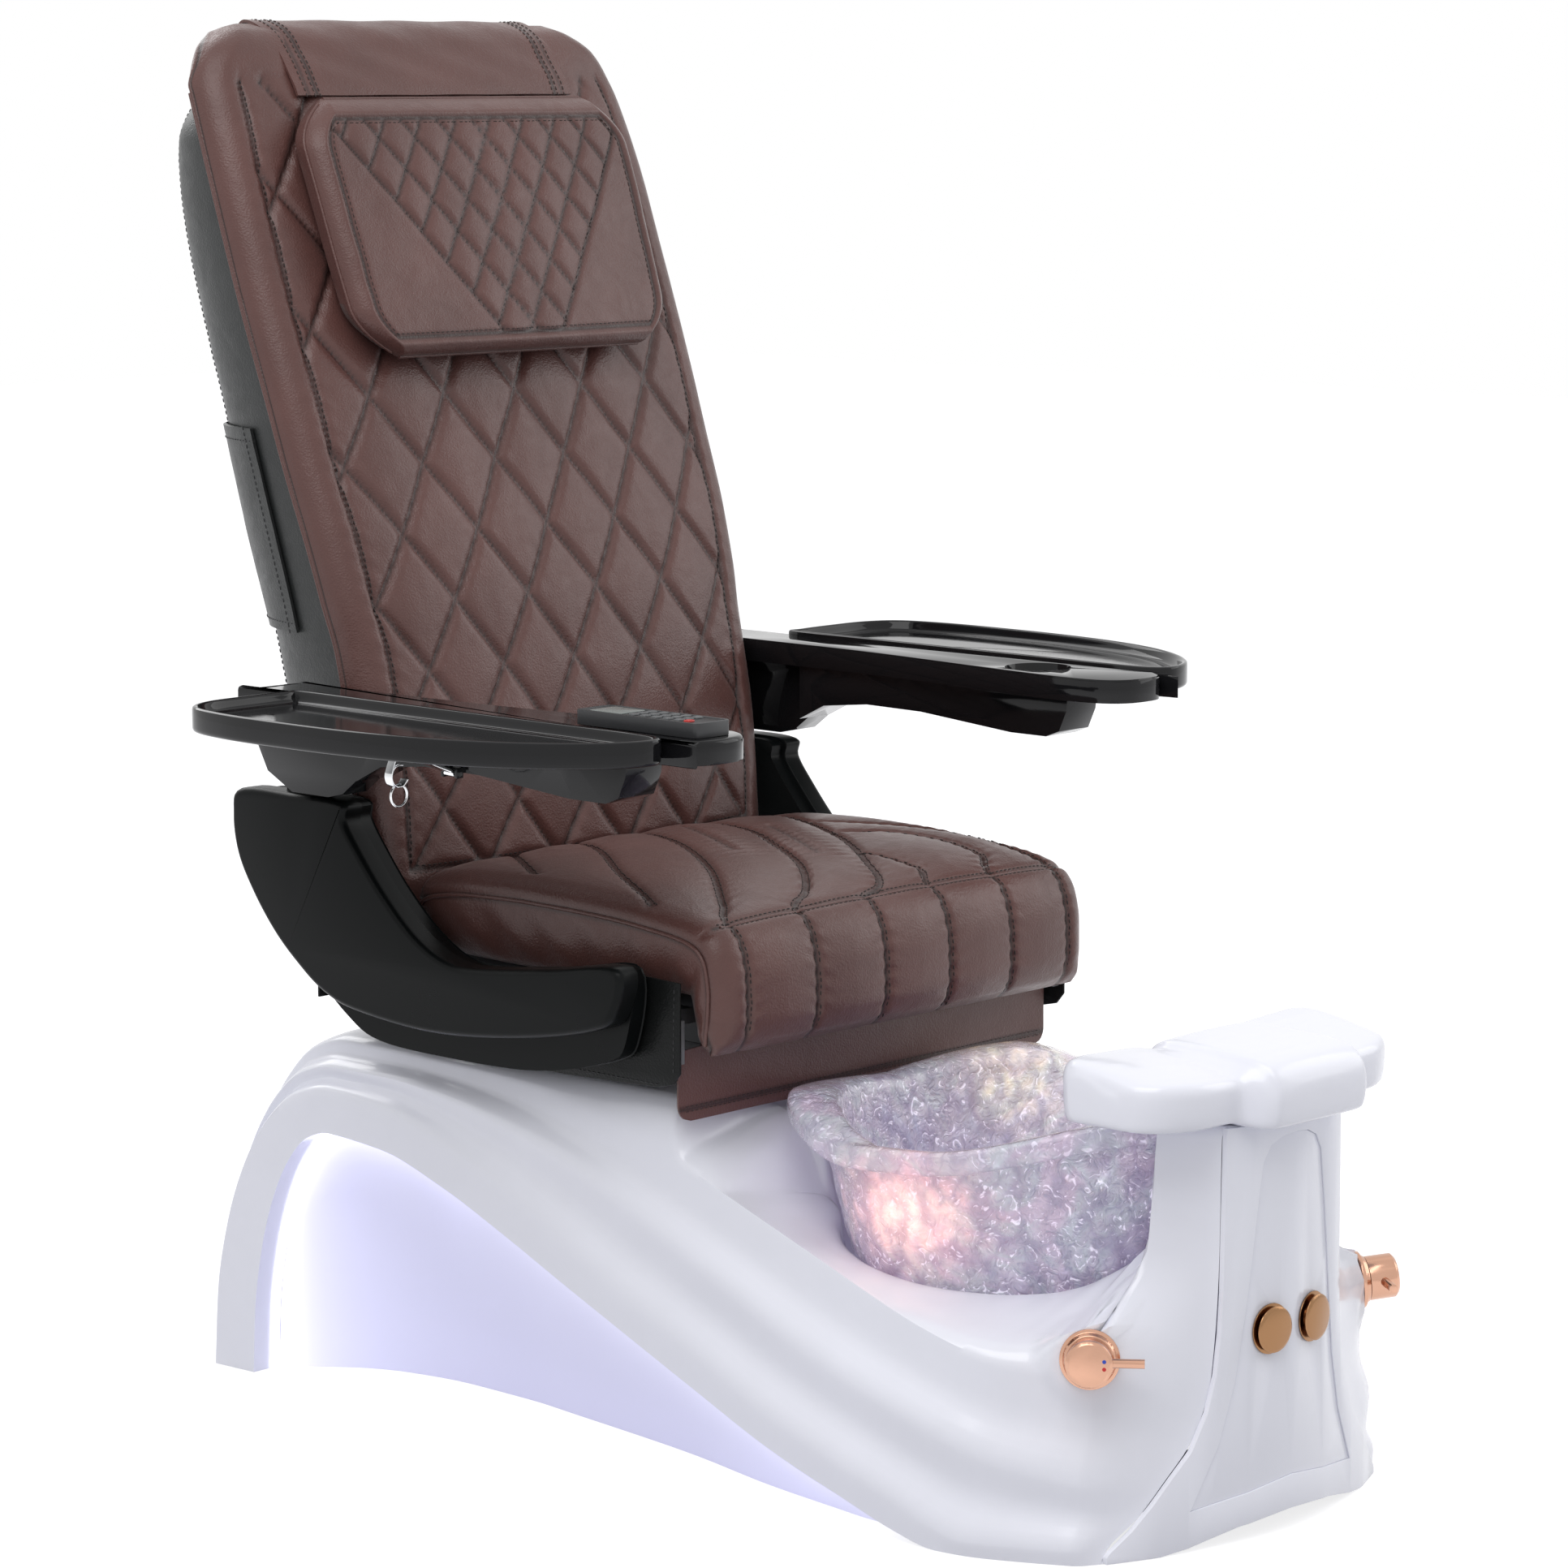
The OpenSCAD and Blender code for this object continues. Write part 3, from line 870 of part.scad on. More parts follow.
module tray_strut(side) { color("gainsboro") at_side(side)
  translate([strut_pivot[0], strut_y, strut_pivot[1]]) rotate([0, -strut_angle, 0]) {
    difference() {
      union() {
        bar([0, -7, -1.5], [strut_len, 7, 1.5]);
        rod_y(-7, 7, 0, 0, 4);
        rod_y(-7, 7, strut_len, 0, 3);
      }
      rod_y(-20, 20, 0, 0, 2.05);
    }
    // spring clip and its pull ring
    difference() {
      translate([strut_len - 26, -5, -24]) rotate([-90, 0, 0]) cylinder(h = 10, r = 12);
      translate([strut_len - 26, -6, -24]) rotate([-90, 0, 0]) cylinder(h = 12, r = 10.5);
      bar([strut_len - 45, -6, -24], [strut_len - 26, 6, -5]);
    }
    bar([strut_len - 15.5, -5, -24], [strut_len - 14, 5, -1]);
    translate([strut_len - 36, 0, -42]) rotate([90, 0, 0])
      rotate_extrude() translate([11, 0]) circle(r = 1.2, $fn = 16);
  }
}
remote_size = [50, 168, 15];
module remote_control() { color(black) difference() {
    translate([-326, -140, arm_top_z + 0.3]) slab_z(0, remote_size[2], [for (a = [0:15:345])
      [sign(cos(a)) * (remote_size[0] / 2 - 8) + 8 * cos(a), sign(sin(a)) * (remote_size[1] / 2 - 8) + 8 * sin(a)]]);
    translate([-326, -140, arm_top_z + remote_size[2] - 0.7])
      bar([-remote_size[0] / 2 + 4, -remote_size[1] / 2 + 4, 0], [remote_size[0] / 2 - 4, remote_size[1] / 2 - 4, 5]);
} }

base_shell();
front_fascia();
access_panel();
side_panel(1);  // side_panel_left
side_panel(-1);  // side_panel_right
led_strip(1);  // led_strip_left
led_strip(-1);  // led_strip_right
base_frame();
levelling_feet();
glass_bowl();
drain_fitting();
drain_stopper();
jet_housing();
jet_cover();
footrest_pad();
footrest_post();
tap_flange(1);  // tap_flange_left
tap_flange(-1);  // tap_flange_right
tap_handle(1);  // tap_handle_left
tap_handle(-1);  // tap_handle_right
tap_valve(1);  // tap_valve_left
tap_valve(-1);  // tap_valve_right
button_bezels();
air_button(1);  // air_button_left
air_button(-1);  // air_button_right
control_box();
slide_rails();
slide_motor();
seat_carriage();
seat_pan();
seat_cushion();
front_flap();
side_skirt(1);  // side_skirt_left
side_skirt(-1);  // side_skirt_right
rear_skirt();
side_shell(1);  // side_shell_left
side_shell(-1);  // side_shell_right
recline_actuator();
actuator_rod();
back_frame();
back_cushion();
back_cover();
back_pocket();
head_pillow();
pillow_flap();
massage_carriage();
arm_body(1);  // arm_body_left
arm_body(-1);  // arm_body_right
arm_top(1);  // arm_top_left
arm_top(-1);  // arm_top_right
arm_pins();
tray(1);  // tray_left
tray(-1);  // tray_right
tray_strut(1);  // tray_strut_left
tray_strut(-1);  // tray_strut_right
remote_control();
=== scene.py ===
import json
import math

import bmesh
import bpy
import numpy as np
from bpy.props import FloatProperty, FloatVectorProperty, PointerProperty
from mathutils import Matrix, Vector, noise


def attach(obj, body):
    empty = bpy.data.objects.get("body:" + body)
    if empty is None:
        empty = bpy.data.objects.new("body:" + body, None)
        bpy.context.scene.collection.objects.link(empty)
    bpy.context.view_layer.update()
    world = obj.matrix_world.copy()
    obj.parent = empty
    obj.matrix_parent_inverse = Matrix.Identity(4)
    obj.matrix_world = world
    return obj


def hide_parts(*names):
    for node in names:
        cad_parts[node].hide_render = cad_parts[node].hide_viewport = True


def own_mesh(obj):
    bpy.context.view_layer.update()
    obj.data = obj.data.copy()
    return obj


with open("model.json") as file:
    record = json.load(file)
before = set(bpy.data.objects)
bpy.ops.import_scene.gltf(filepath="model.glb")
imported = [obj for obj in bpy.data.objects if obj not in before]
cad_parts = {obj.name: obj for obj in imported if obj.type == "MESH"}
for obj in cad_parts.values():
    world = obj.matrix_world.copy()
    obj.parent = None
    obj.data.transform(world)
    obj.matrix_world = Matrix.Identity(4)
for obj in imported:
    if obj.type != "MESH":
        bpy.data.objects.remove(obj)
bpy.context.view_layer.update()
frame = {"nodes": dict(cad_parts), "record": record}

bl_info = {
    "name": "Pedicure Spa Chair",
    "version": (1, 0, 0),
    "blender": (4, 5, 0),
    "location": "View3D > Sidebar > Spa Chair",
    "description": "Upholstery, moulded base, glass bowl and finishes of a pedicure spa chair",
    "category": "Object",
}

MM = 0.001
SIDES = ((1, "left"), (-1, "right"))


# ---------- curves ----------
def mix(a, b, t):
    return a + (b - a) * t


def ease(t):
    u = np.clip(t, 0, 1)
    return u * u * (3 - 2 * u)


def bell(x, width):
    return np.exp(-(x / width) ** 2)


def curve(pairs, x):
    """Smooth curve through [position, value] pairs, level past both ends."""
    p = np.array(pairs, float)
    px, pv = p[:, 0], p[:, 1]
    k = np.arange(len(p))
    before, after = np.maximum(k - 1, 0), np.minimum(k + 1, len(p) - 1)
    m = (pv[after] - pv[before]) / (px[after] - px[before])
    x = np.clip(x, px[0], px[-1])
    i = np.clip(np.searchsorted(px, x, side="right") - 1, 0, len(p) - 2)
    h = px[i + 1] - px[i]
    t = (x - px[i]) / h
    return (pv[i] * (2 * t**3 - 3 * t**2 + 1) + pv[i + 1] * (3 * t**2 - 2 * t**3)
            + h * m[i] * (t**3 - 2 * t**2 + t) + h * m[i + 1] * (t**3 - t**2))


def refine(points, steps, sharp=()):
    """Smooth curve without overshoot through points along the first axis."""
    p = np.asarray(points, float)
    h = np.linalg.norm(np.diff(p, axis=0), axis=-1, keepdims=True).clip(1e-6)
    s = np.diff(p, axis=0) / h
    m = np.zeros_like(p)
    m[0], m[-1] = s[0], s[-1]
    same = s[1:] * s[:-1] > 0
    w1, w2 = 2 * h[1:] + h[:-1], h[1:] + 2 * h[:-1]
    m[1:-1] = np.where(same, (w1 + w2) / (w1 / np.where(same, s[:-1], 1) + w2 / np.where(same, s[1:], 1)), 0)
    left, right = m[:-1].copy(), m[1:].copy()
    for k in sharp:
        left[k], right[k - 1] = s[k], s[k - 1]
    out = []
    for i in range(steps):
        t = i / steps
        out.append(p[:-1] * (2 * t**3 - 3 * t**2 + 1) + p[1:] * (3 * t**2 - 2 * t**3)
                   + h * left * (t**3 - 2 * t**2 + t) + h * right * (t**3 - t**2))
    fine = np.stack(out, 1).reshape((-1,) + p.shape[1:])
    return np.concatenate([fine, p[-1:]])


def refine_both(grid, rows, columns, sharp=()):
    return np.swapaxes(refine(np.swapaxes(refine(grid, rows), 0, 1), columns, sharp), 0, 1)


def rounded(outline, steps=6):
    """Closed smooth outline through corner points."""
    b = np.array(outline, float)
    a, c, d = np.roll(b, 1, 0), np.roll(b, -1, 0), np.roll(b, -2, 0)
    t = (np.arange(steps) / steps)[None, :, None]
    a, b, c, d = (q[:, None] for q in (a, b, c, d))
    out = 0.5 * (2 * b + (c - a) * t + (2 * a - 5 * b + 4 * c - d) * t**2 + (3 * b - a - 3 * c + d) * t**3)
    return out.reshape(-1, 2)


def unit(v):
    """Vectors of length 1, along the last axis."""
    return v / np.linalg.norm(v, axis=-1, keepdims=True).clip(1e-9)


def circle(sides):
    return np.linspace(0, 2 * math.pi, sides, endpoint=False)


def toward(a, b):
    """Direction from a to b, and their distance."""
    length = np.linalg.norm(b - a)
    return (b - a) / length, length


def counter_clockwise(outline):
    x, y = outline.T
    return outline if (x * np.roll(y, -1) - np.roll(x, -1) * y).sum() > 0 else outline[::-1]


def inset(outline, d):
    """Outline moved inwards, for points in counter-clockwise order."""
    p = np.array(outline, float)
    t, u = unit(p - np.roll(p, 1, 0)), unit(np.roll(p, -1, 0) - p)
    k = d / (1 + (t * u).sum(1, keepdims=True)).clip(0.2)
    return p + k * np.stack([-(t + u)[:, 1], (t + u)[:, 0]], 1)


def stain(points, size, seed=0.0, octaves=3):
    """Repeatable soft noise, from -1 to 1, at each point."""
    flat = np.asarray(points, float).reshape(-1, 3) / size + seed
    values = [noise.fractal(Vector(p), 1.0, 2.0, octaves) for p in flat]
    return np.array(values).reshape(np.asarray(points).shape[:-1])


def line_distance(x, y, lines):
    """Distance from each point to the nearest of several open lines."""
    best = np.full(np.shape(x), 1e9)
    for line in lines:
        p = np.array(line, float)
        for a, b in zip(p[:-1], p[1:]):
            d = b - a
            t = np.clip(((x - a[0]) * d[0] + (y - a[1]) * d[1]) / max(d @ d, 1e-9), 0, 1)
            best = np.minimum(best, np.hypot(x - a[0] - t * d[0], y - a[1] - t * d[1]))
    return best


# ---------- meshes ----------
def linked(name, data):
    made = bpy.data.objects.new(name, data)
    bpy.context.scene.collection.objects.link(made)
    return made


def grid_faces(rows, columns, ring=False, start=0):
    i, j = np.meshgrid(np.arange(rows - 1), np.arange(columns if ring else columns - 1), indexing="ij")
    k = (j + 1) % columns
    quads = np.stack([i * columns + j, i * columns + k, (i + 1) * columns + k, (i + 1) * columns + j], -1)
    return (quads.reshape(-1, 4) + start).tolist()


def smooth_by_angle(mesh, degrees):
    mesh.polygons.foreach_set("use_smooth", [True] * len(mesh.polygons))
    mesh.set_sharp_from_angle(angle=math.radians(degrees))


def piece(name, points, faces, material, body, replaces=(), slot=None, angle=50, masks=None):
    """Makes a mesh from points in millimetres, turns its faces outwards and seats it on its body."""
    mesh = bpy.data.meshes.new(name)
    mesh.from_pydata((np.asarray(points, float).reshape(-1, 3) * MM).tolist(), [], faces)
    for key, values in (masks or {}).items():
        mesh.attributes.new(key, "FLOAT", "POINT").data.foreach_set("value", np.asarray(values, np.float32).ravel())
    shape = bmesh.new()
    shape.from_mesh(mesh)
    bmesh.ops.recalc_face_normals(shape, faces=shape.faces)
    shape.to_mesh(mesh)
    shape.free()
    mesh.update()
    smooth_by_angle(mesh, angle)
    mesh.materials.append(material)
    return seat(linked(name, mesh), body, replaces)


def seat(made, body, replaces=()):
    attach(made, body)
    if replaces:
        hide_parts(*replaces)
    return made


def loft(rings, caps="fan"):
    """Points and faces of a closed body through rings."""
    rings = np.asarray(rings, float)
    r, c = rings.shape[:2]
    points, faces = rings.reshape(-1, 3), grid_faces(r, c, ring=True)
    first, last = list(range(c - 1, -1, -1)), list(range((r - 1) * c, r * c))
    if caps == "flat":
        return points, faces + [first, last]
    ends = np.stack([rings[0].mean(0), rings[-1].mean(0)])
    faces += [[first[k], first[(k + 1) % c], r * c] for k in range(c)]
    faces += [[last[k], last[(k + 1) % c], r * c + 1] for k in range(c)]
    return np.concatenate([points, ends]), faces


def sheet(outer, inner):
    """Points and faces of a closed sheet between two grids."""
    r, c = outer.shape[:2]
    n = r * c
    faces = grid_faces(r, c) + [f[::-1] for f in grid_faces(r, c, start=n)]
    for j in range(c - 1):
        faces += [[j, n + j, n + j + 1, j + 1], [n - c + j + 1, 2 * n - c + j + 1, 2 * n - c + j, n - c + j]]
    for i in range(r - 1):
        a, b = i * c, i * c + c - 1
        faces += [[a + c, n + a + c, n + a, a], [b, n + b, n + b + c, b + c]]
    return np.concatenate([outer.reshape(-1, 3), inner.reshape(-1, 3)]), faces


def front_only(mask):
    """Mask of a closed sheet: as given on its front, none on its back."""
    return np.concatenate([mask.ravel(), 0 * mask.ravel()])


def apply_modifiers(made):
    """Keeps the result of an object's modifiers as its plain mesh."""
    bpy.context.view_layer.update()
    graph = bpy.context.evaluated_depsgraph_get()
    mesh = bpy.data.meshes.new_from_object(made.evaluated_get(graph))
    made.modifiers.clear()
    made.data = mesh
    return made


def fitted(node, material, body, bevel=0.6, angle=32):
    """Smooth copy of a hard piece of the frame, with its edges eased."""
    made = linked("shaped_" + node, frame["nodes"][node].data.copy())
    mesh = made.data
    shape = bmesh.new()
    shape.from_mesh(mesh)
    bmesh.ops.remove_doubles(shape, verts=shape.verts, dist=2e-5)
    bmesh.ops.dissolve_limit(shape, angle_limit=math.radians(0.6), verts=shape.verts, edges=shape.edges)
    bmesh.ops.recalc_face_normals(shape, faces=shape.faces)
    shape.to_mesh(mesh)
    shape.free()
    mesh.materials.clear()
    mesh.materials.append(material)
    if bevel:
        ease_edges = made.modifiers.new("edges", "BEVEL")
        ease_edges.width = bevel * MM
        ease_edges.segments = 2
        ease_edges.limit_method = "ANGLE"
        ease_edges.angle_limit = math.radians(32)
        apply_modifiers(made)
        mesh = made.data
    if "custom_normal" in mesh.attributes:
        mesh.attributes.remove(mesh.attributes["custom_normal"])
    smooth_by_angle(mesh, angle)
    return seat(made, body, (node,))


# ---------- node trees ----------
def feed(tree, node, sockets):
    """Links or sets a node's inputs."""
    for key, value in sockets.items():
        if isinstance(value, bpy.types.NodeSocket):
            tree.links.new(value, node.inputs[key])
        else:
            node.inputs[key].default_value = value
    return node


def put(tree, kind, sockets=None, **settings):
    node = tree.nodes.new(kind)
    for key, value in settings.items():
        setattr(node, key, value)
    return feed(tree, node, sockets or {})


def blank_tree(owner):
    owner.use_nodes = True
    owner.node_tree.nodes.clear()
    return owner.node_tree


def blend_colours(tree, share, a, b, mode="MIX"):
    return put(tree, "ShaderNodeMix", {0: share, 6: a, 7: b}, data_type="RGBA", blend_type=mode).outputs[2]


def spread(tree, value, low, high, to_low=0.0, to_high=1.0):
    return put(tree, "ShaderNodeMapRange", {"Value": value, "From Min": low, "From Max": high,
                                            "To Min": to_low, "To Max": to_high}).outputs[0]


def maths(tree, a, b, operation="ADD"):
    return put(tree, "ShaderNodeMath", {0: a, 1: b}, operation=operation).outputs[0]


def times(tree, a, b):
    return maths(tree, a, b, "MULTIPLY")


def clouds(tree, where, scale, **more):
    return put(tree, "ShaderNodeTexNoise", {"Vector": where, "Scale": scale, **more}).outputs[0]


def bumps(tree, height, strength, distance):
    """Normal of a relief, with its depth in metres."""
    return put(tree, "ShaderNodeBump", {"Height": height, "Strength": strength, "Distance": distance}).outputs[0]


def mask_value(tree, name):
    return put(tree, "ShaderNodeAttribute", attribute_name=name).outputs["Fac"]


def new_group(name, kind, inputs, outputs):
    tree = bpy.data.node_groups.new(name, kind)
    for label, socket, default in inputs:
        made = tree.interface.new_socket(name=label, in_out="INPUT", socket_type=socket)
        if default is not None:
            made.default_value = default
    for label, socket in outputs:
        tree.interface.new_socket(name=label, in_out="OUTPUT", socket_type=socket)
    return tree, put(tree, "NodeGroupInput"), put(tree, "NodeGroupOutput")


def leather_grain():
    """Shared effect: pebbled grain of leather, as a tone and a normal."""
    if "leather_grain" in bpy.data.node_groups:
        return bpy.data.node_groups["leather_grain"]
    tree, start, end = new_group(
        "leather_grain", "ShaderNodeTree",
        [("Vector", "NodeSocketVector", None), ("Grain", "NodeSocketFloat", 520.0),
         ("Depth", "NodeSocketFloat", 0.4)],
        [("Tone", "NodeSocketFloat"), ("Normal", "NodeSocketVector")])
    where = start.outputs["Vector"]
    pebbles = put(tree, "ShaderNodeTexVoronoi", {"Vector": where, "Scale": start.outputs["Grain"],
                                                 "Randomness": 1.0}, feature="SMOOTH_F1")
    fine = clouds(tree, where, 260.0, Detail=5.0, Roughness=0.6)
    creases = clouds(tree, where, 34.0, Detail=6.0, Distortion=1.1, Roughness=0.62)
    height = maths(tree, maths(tree, pebbles.outputs["Distance"], fine), times(tree, creases, 1.4))
    feed(tree, end, {"Tone": spread(tree, creases, 0.3, 0.7),
                     "Normal": bumps(tree, height, start.outputs["Depth"], 0.0009)})
    return tree


def handling_marks():
    """Shared effect: cloudy smudges, and a mask of worn outer edges."""
    if "handling_marks" in bpy.data.node_groups:
        return bpy.data.node_groups["handling_marks"]
    tree, start, end = new_group(
        "handling_marks", "ShaderNodeTree",
        [("Vector", "NodeSocketVector", None), ("Scale", "NodeSocketFloat", 14.0)],
        [("Smudge", "NodeSocketFloat"), ("Edge", "NodeSocketFloat"), ("Normal", "NodeSocketVector")])
    where = start.outputs["Vector"]
    cloud = clouds(tree, where, start.outputs["Scale"], Detail=6.0, Roughness=0.65, Distortion=0.4)
    speck = clouds(tree, where, 420.0, Detail=3.0)
    edge = put(tree, "ShaderNodeNewGeometry").outputs["Pointiness"]
    feed(tree, end, {"Smudge": spread(tree, cloud, 0.35, 0.68), "Edge": spread(tree, edge, 0.52, 0.62),
                     "Normal": bumps(tree, speck, 0.08, 0.0003)})
    return tree


def finished(name):
    """The finish already mixed under this name, apart from the frame's flat materials."""
    return bpy.data.materials.get(name + "_finish")


def shader(name, **constant):
    """Starts a material: its tree, its Principled node with constant values set, and object coordinates."""
    made = bpy.data.materials.new(name + "_finish")
    tree = blank_tree(made)
    surface = put(tree, "ShaderNodeBsdfPrincipled", {key.replace("_", " "): v for key, v in constant.items()})
    put(tree, "ShaderNodeOutputMaterial", {0: surface.outputs[0]})
    where = put(tree, "ShaderNodeTexCoord").outputs["Object"]
    return made, tree, surface, where


def leather(name, colour, grain=520.0, roughness=0.37, depth=0.36, sheen=0.0, gloss=0.45):
    if finished(name):
        return finished(name)
    made, tree, surface, where = shader(name, IOR=1.46, Specular_IOR_Level=gloss, Sheen_Weight=sheen,
                                        Sheen_Roughness=0.4)
    skin = put(tree, "ShaderNodeGroup", {"Vector": where, "Grain": grain, "Depth": depth},
               node_tree=leather_grain())
    cloud, seam = clouds(tree, where, 7.0, Detail=5.0), mask_value(tree, "seam")
    c = Vector(colour)
    body = blend_colours(tree, spread(tree, cloud, 0.3, 0.7), (*(c * 0.86), 1), (*(c * 1.16), 1))
    worn = blend_colours(tree, times(tree, skin.outputs["Tone"], 0.22), body, (*(c * 1.5), 1))
    # Painted shade: the colour drops to a tenth along the seams, pleats and hems, standing in for the shade in
    # their creases.
    seam_shaded = blend_colours(tree, times(tree, seam, 0.92), worn, (*(c * 0.10), 1))
    rough = spread(tree, skin.outputs["Tone"], 0, 1, roughness + 0.08, roughness - 0.06)
    feed(tree, surface, {"Base Color": seam_shaded, "Roughness": rough, "Normal": skin.outputs["Normal"]})
    return made


def hard(name, colour, roughness, edge=None, scale=14.0, haze=0.08, **constant):
    """Paint, plastic, gelcoat or metal: smudged roughness, slight tone drift and worn edges."""
    if finished(name):
        return finished(name)
    made, tree, surface, where = shader(name, **constant)
    marks = put(tree, "ShaderNodeGroup", {"Vector": where, "Scale": scale}, node_tree=handling_marks())
    c = Vector(colour)
    tone = blend_colours(tree, marks.outputs["Smudge"], (*(c * 0.95), 1), (*c, 1))
    worn = blend_colours(tree, times(tree, marks.outputs["Edge"], 0.5), tone,
                         (*(edge or c * 1.12), 1))
    rough = spread(tree, marks.outputs["Smudge"], 0, 1, roughness, roughness + haze)
    feed(tree, surface, {"Base Color": worn, "Roughness": rough, "Normal": marks.outputs["Normal"]})
    return made


def chair():
    return bpy.context.scene.spa_chair


def brown_leather():
    u = chair().upholstery
    return leather("brown_leather", u.brown, u.grain, 0.35, sheen=0.09, gloss=0.48)


def black_leather():
    return leather("black_leather", chair().upholstery.black, chair().upholstery.grain, 0.40)


def shade_darkened_skirt_leather():
    # Painted shade: the skirts hang in the shade under the seat, so they get the black leather at about a third of
    # its colour and with less gloss.
    black = tuple(0.35 * v for v in chair().upholstery.black)
    return leather("shade_darkened_skirt_leather", black, chair().upholstery.grain, 0.34, gloss=0.16)


def thread(name, colour):
    return hard(name, colour, 0.62, scale=600.0)


def brown_thread():
    return thread("brown_thread", chair().upholstery.thread)


def black_thread():
    return thread("black_thread", (0.03, 0.03, 0.032))


def gelcoat():
    c = chair().base.gelcoat
    return hard("white_gelcoat", c, 0.22, tuple(min(1, 1.02 * v) for v in c), scale=3.0, haze=0.02,
                Coat_Weight=0.2, Coat_Roughness=0.08)


def soot_plastic():
    return hard("soot_plastic", chair().arms.shell, 0.27, (0.02, 0.022, 0.022), scale=9.0, Specular_IOR_Level=0.10)


def gloss_black():
    return hard("gloss_black", chair().arms.gloss, 0.05, (0.02, 0.02, 0.022), scale=6.0, haze=0.05,
                Specular_IOR_Level=0.22, Coat_Weight=0.10, Coat_Roughness=0.02)


def metal(name, colour, roughness, scale=22.0):
    return hard(name, colour, roughness, tuple(min(1, 1.15 * c) for c in colour), scale=scale, haze=0.12,
                Metallic=1.0)


def finishes():
    """Materials of the hard pieces that keep the frame's own shape."""
    return {
        "white_gelcoat": gelcoat(),
        "rose_gold": metal("rose_gold", chair().base.trim, 0.14),
        "copper": metal("copper", (0.33, 0.18, 0.09), 0.16),
        "brass": metal("brass", (0.72, 0.50, 0.22), 0.3),
        "plated_steel": metal("plated_steel", (0.62, 0.63, 0.65), 0.28),
        "painted_steel": hard("painted_steel", (0.10, 0.105, 0.11), 0.42, (0.25, 0.25, 0.26)),
        "chrome": metal("chrome", (0.78, 0.79, 0.80), 0.08),
        "dark_plastic": hard("dark_plastic", (0.022, 0.023, 0.025), 0.38, (0.06, 0.06, 0.065)),
        "rubber": hard("rubber", (0.018, 0.018, 0.018), 0.72, scale=60.0),
        "gloss_black": gloss_black(),
        "soot_plastic": soot_plastic(),
    }


# ---------- stitches and piping by geometry nodes ----------
def painted_end(tree, end, geometry, material):
    """Makes a tree's instances real, paints them and hands them out."""
    real = put(tree, "GeometryNodeRealizeInstances", {"Geometry": geometry})
    painted = put(tree, "GeometryNodeSetMaterial", {"Geometry": real.outputs[0], "Material": material})
    feed(tree, end, {0: painted.outputs[0]})
    return tree


def stitch_tree():
    if "stitch_row" in bpy.data.node_groups:
        return bpy.data.node_groups["stitch_row"]
    tree, start, end = new_group(
        "stitch_row", "GeometryNodeTree",
        [("Geometry", "NodeSocketGeometry", None), ("Pitch", "NodeSocketFloat", 0.007),
         ("Length", "NodeSocketFloat", 0.005), ("Thickness", "NodeSocketFloat", 0.001),
         ("Thread", "NodeSocketMaterial", None)],
        [("Geometry", "NodeSocketGeometry")])
    line = put(tree, "GeometryNodeMeshToCurve", {"Mesh": start.outputs["Geometry"]})
    dots = put(tree, "GeometryNodeResampleCurve", {"Curve": line.outputs[0], "Length": start.outputs["Pitch"]},
               mode="LENGTH")
    bead = put(tree, "GeometryNodeMeshUVSphere", {"Segments": 6, "Rings": 4, "Radius": 0.5})
    turn = put(tree, "FunctionNodeAlignRotationToVector",
               {"Vector": put(tree, "GeometryNodeInputTangent").outputs[0]}, axis="Z")
    size = put(tree, "ShaderNodeCombineXYZ", {"X": start.outputs["Thickness"], "Y": start.outputs["Thickness"],
                                              "Z": start.outputs["Length"]})
    placed = put(tree, "GeometryNodeInstanceOnPoints",
                 {"Points": dots.outputs[0], "Instance": bead.outputs[0], "Rotation": turn.outputs[0],
                  "Scale": size.outputs[0]})
    return painted_end(tree, end, placed.outputs[0], start.outputs["Thread"])


def piping_tree():
    if "piping" in bpy.data.node_groups:
        return bpy.data.node_groups["piping"]
    tree, start, end = new_group(
        "piping", "GeometryNodeTree",
        [("Geometry", "NodeSocketGeometry", None), ("Radius", "NodeSocketFloat", 0.003),
         ("Cover", "NodeSocketMaterial", None)],
        [("Geometry", "NodeSocketGeometry")])
    line = put(tree, "GeometryNodeMeshToCurve", {"Mesh": start.outputs["Geometry"]})
    profile = put(tree, "GeometryNodeCurvePrimitiveCircle", {"Resolution": 8, "Radius": start.outputs["Radius"]})
    tube = put(tree, "GeometryNodeCurveToMesh", {"Curve": line.outputs[0], "Profile Curve": profile.outputs[0],
                                                 "Fill Caps": True})
    return painted_end(tree, end, tube.outputs[0], start.outputs["Cover"])


def along(name, lines, body, tree, inputs):
    """Runs a tree along lines of points in millimetres and keeps the result as one plain mesh."""
    points, edges = [], []
    for line in lines:
        line = np.asarray(line, float)
        edges += [(len(points) + k, len(points) + k + 1) for k in range(len(line) - 1)]
        points += (line * MM).tolist()
    mesh = bpy.data.meshes.new(name)
    mesh.from_pydata(points, edges, [])
    made = linked(name, mesh)
    nodes = made.modifiers.new("along", "NODES")
    nodes.node_group = tree
    names = {s.name: s.identifier for s in tree.interface.items_tree if s.in_out == "INPUT"}
    for key, value in inputs.items():
        nodes[names[key]] = value
    apply_modifiers(made)
    smooth_by_angle(made.data, 60)
    return seat(made, body, ())


def stitches(name, lines, body, material, thickness=1.5):
    u = chair().upholstery
    return along(name, lines, body, stitch_tree(),
                 {"Pitch": u.stitch_pitch, "Length": 0.72 * u.stitch_pitch, "Thickness": thickness * MM,
                  "Thread": material})


def piping(name, lines, body, material, radius=3.0):
    return along(name, lines, body, piping_tree(), {"Radius": radius * MM, "Cover": material})


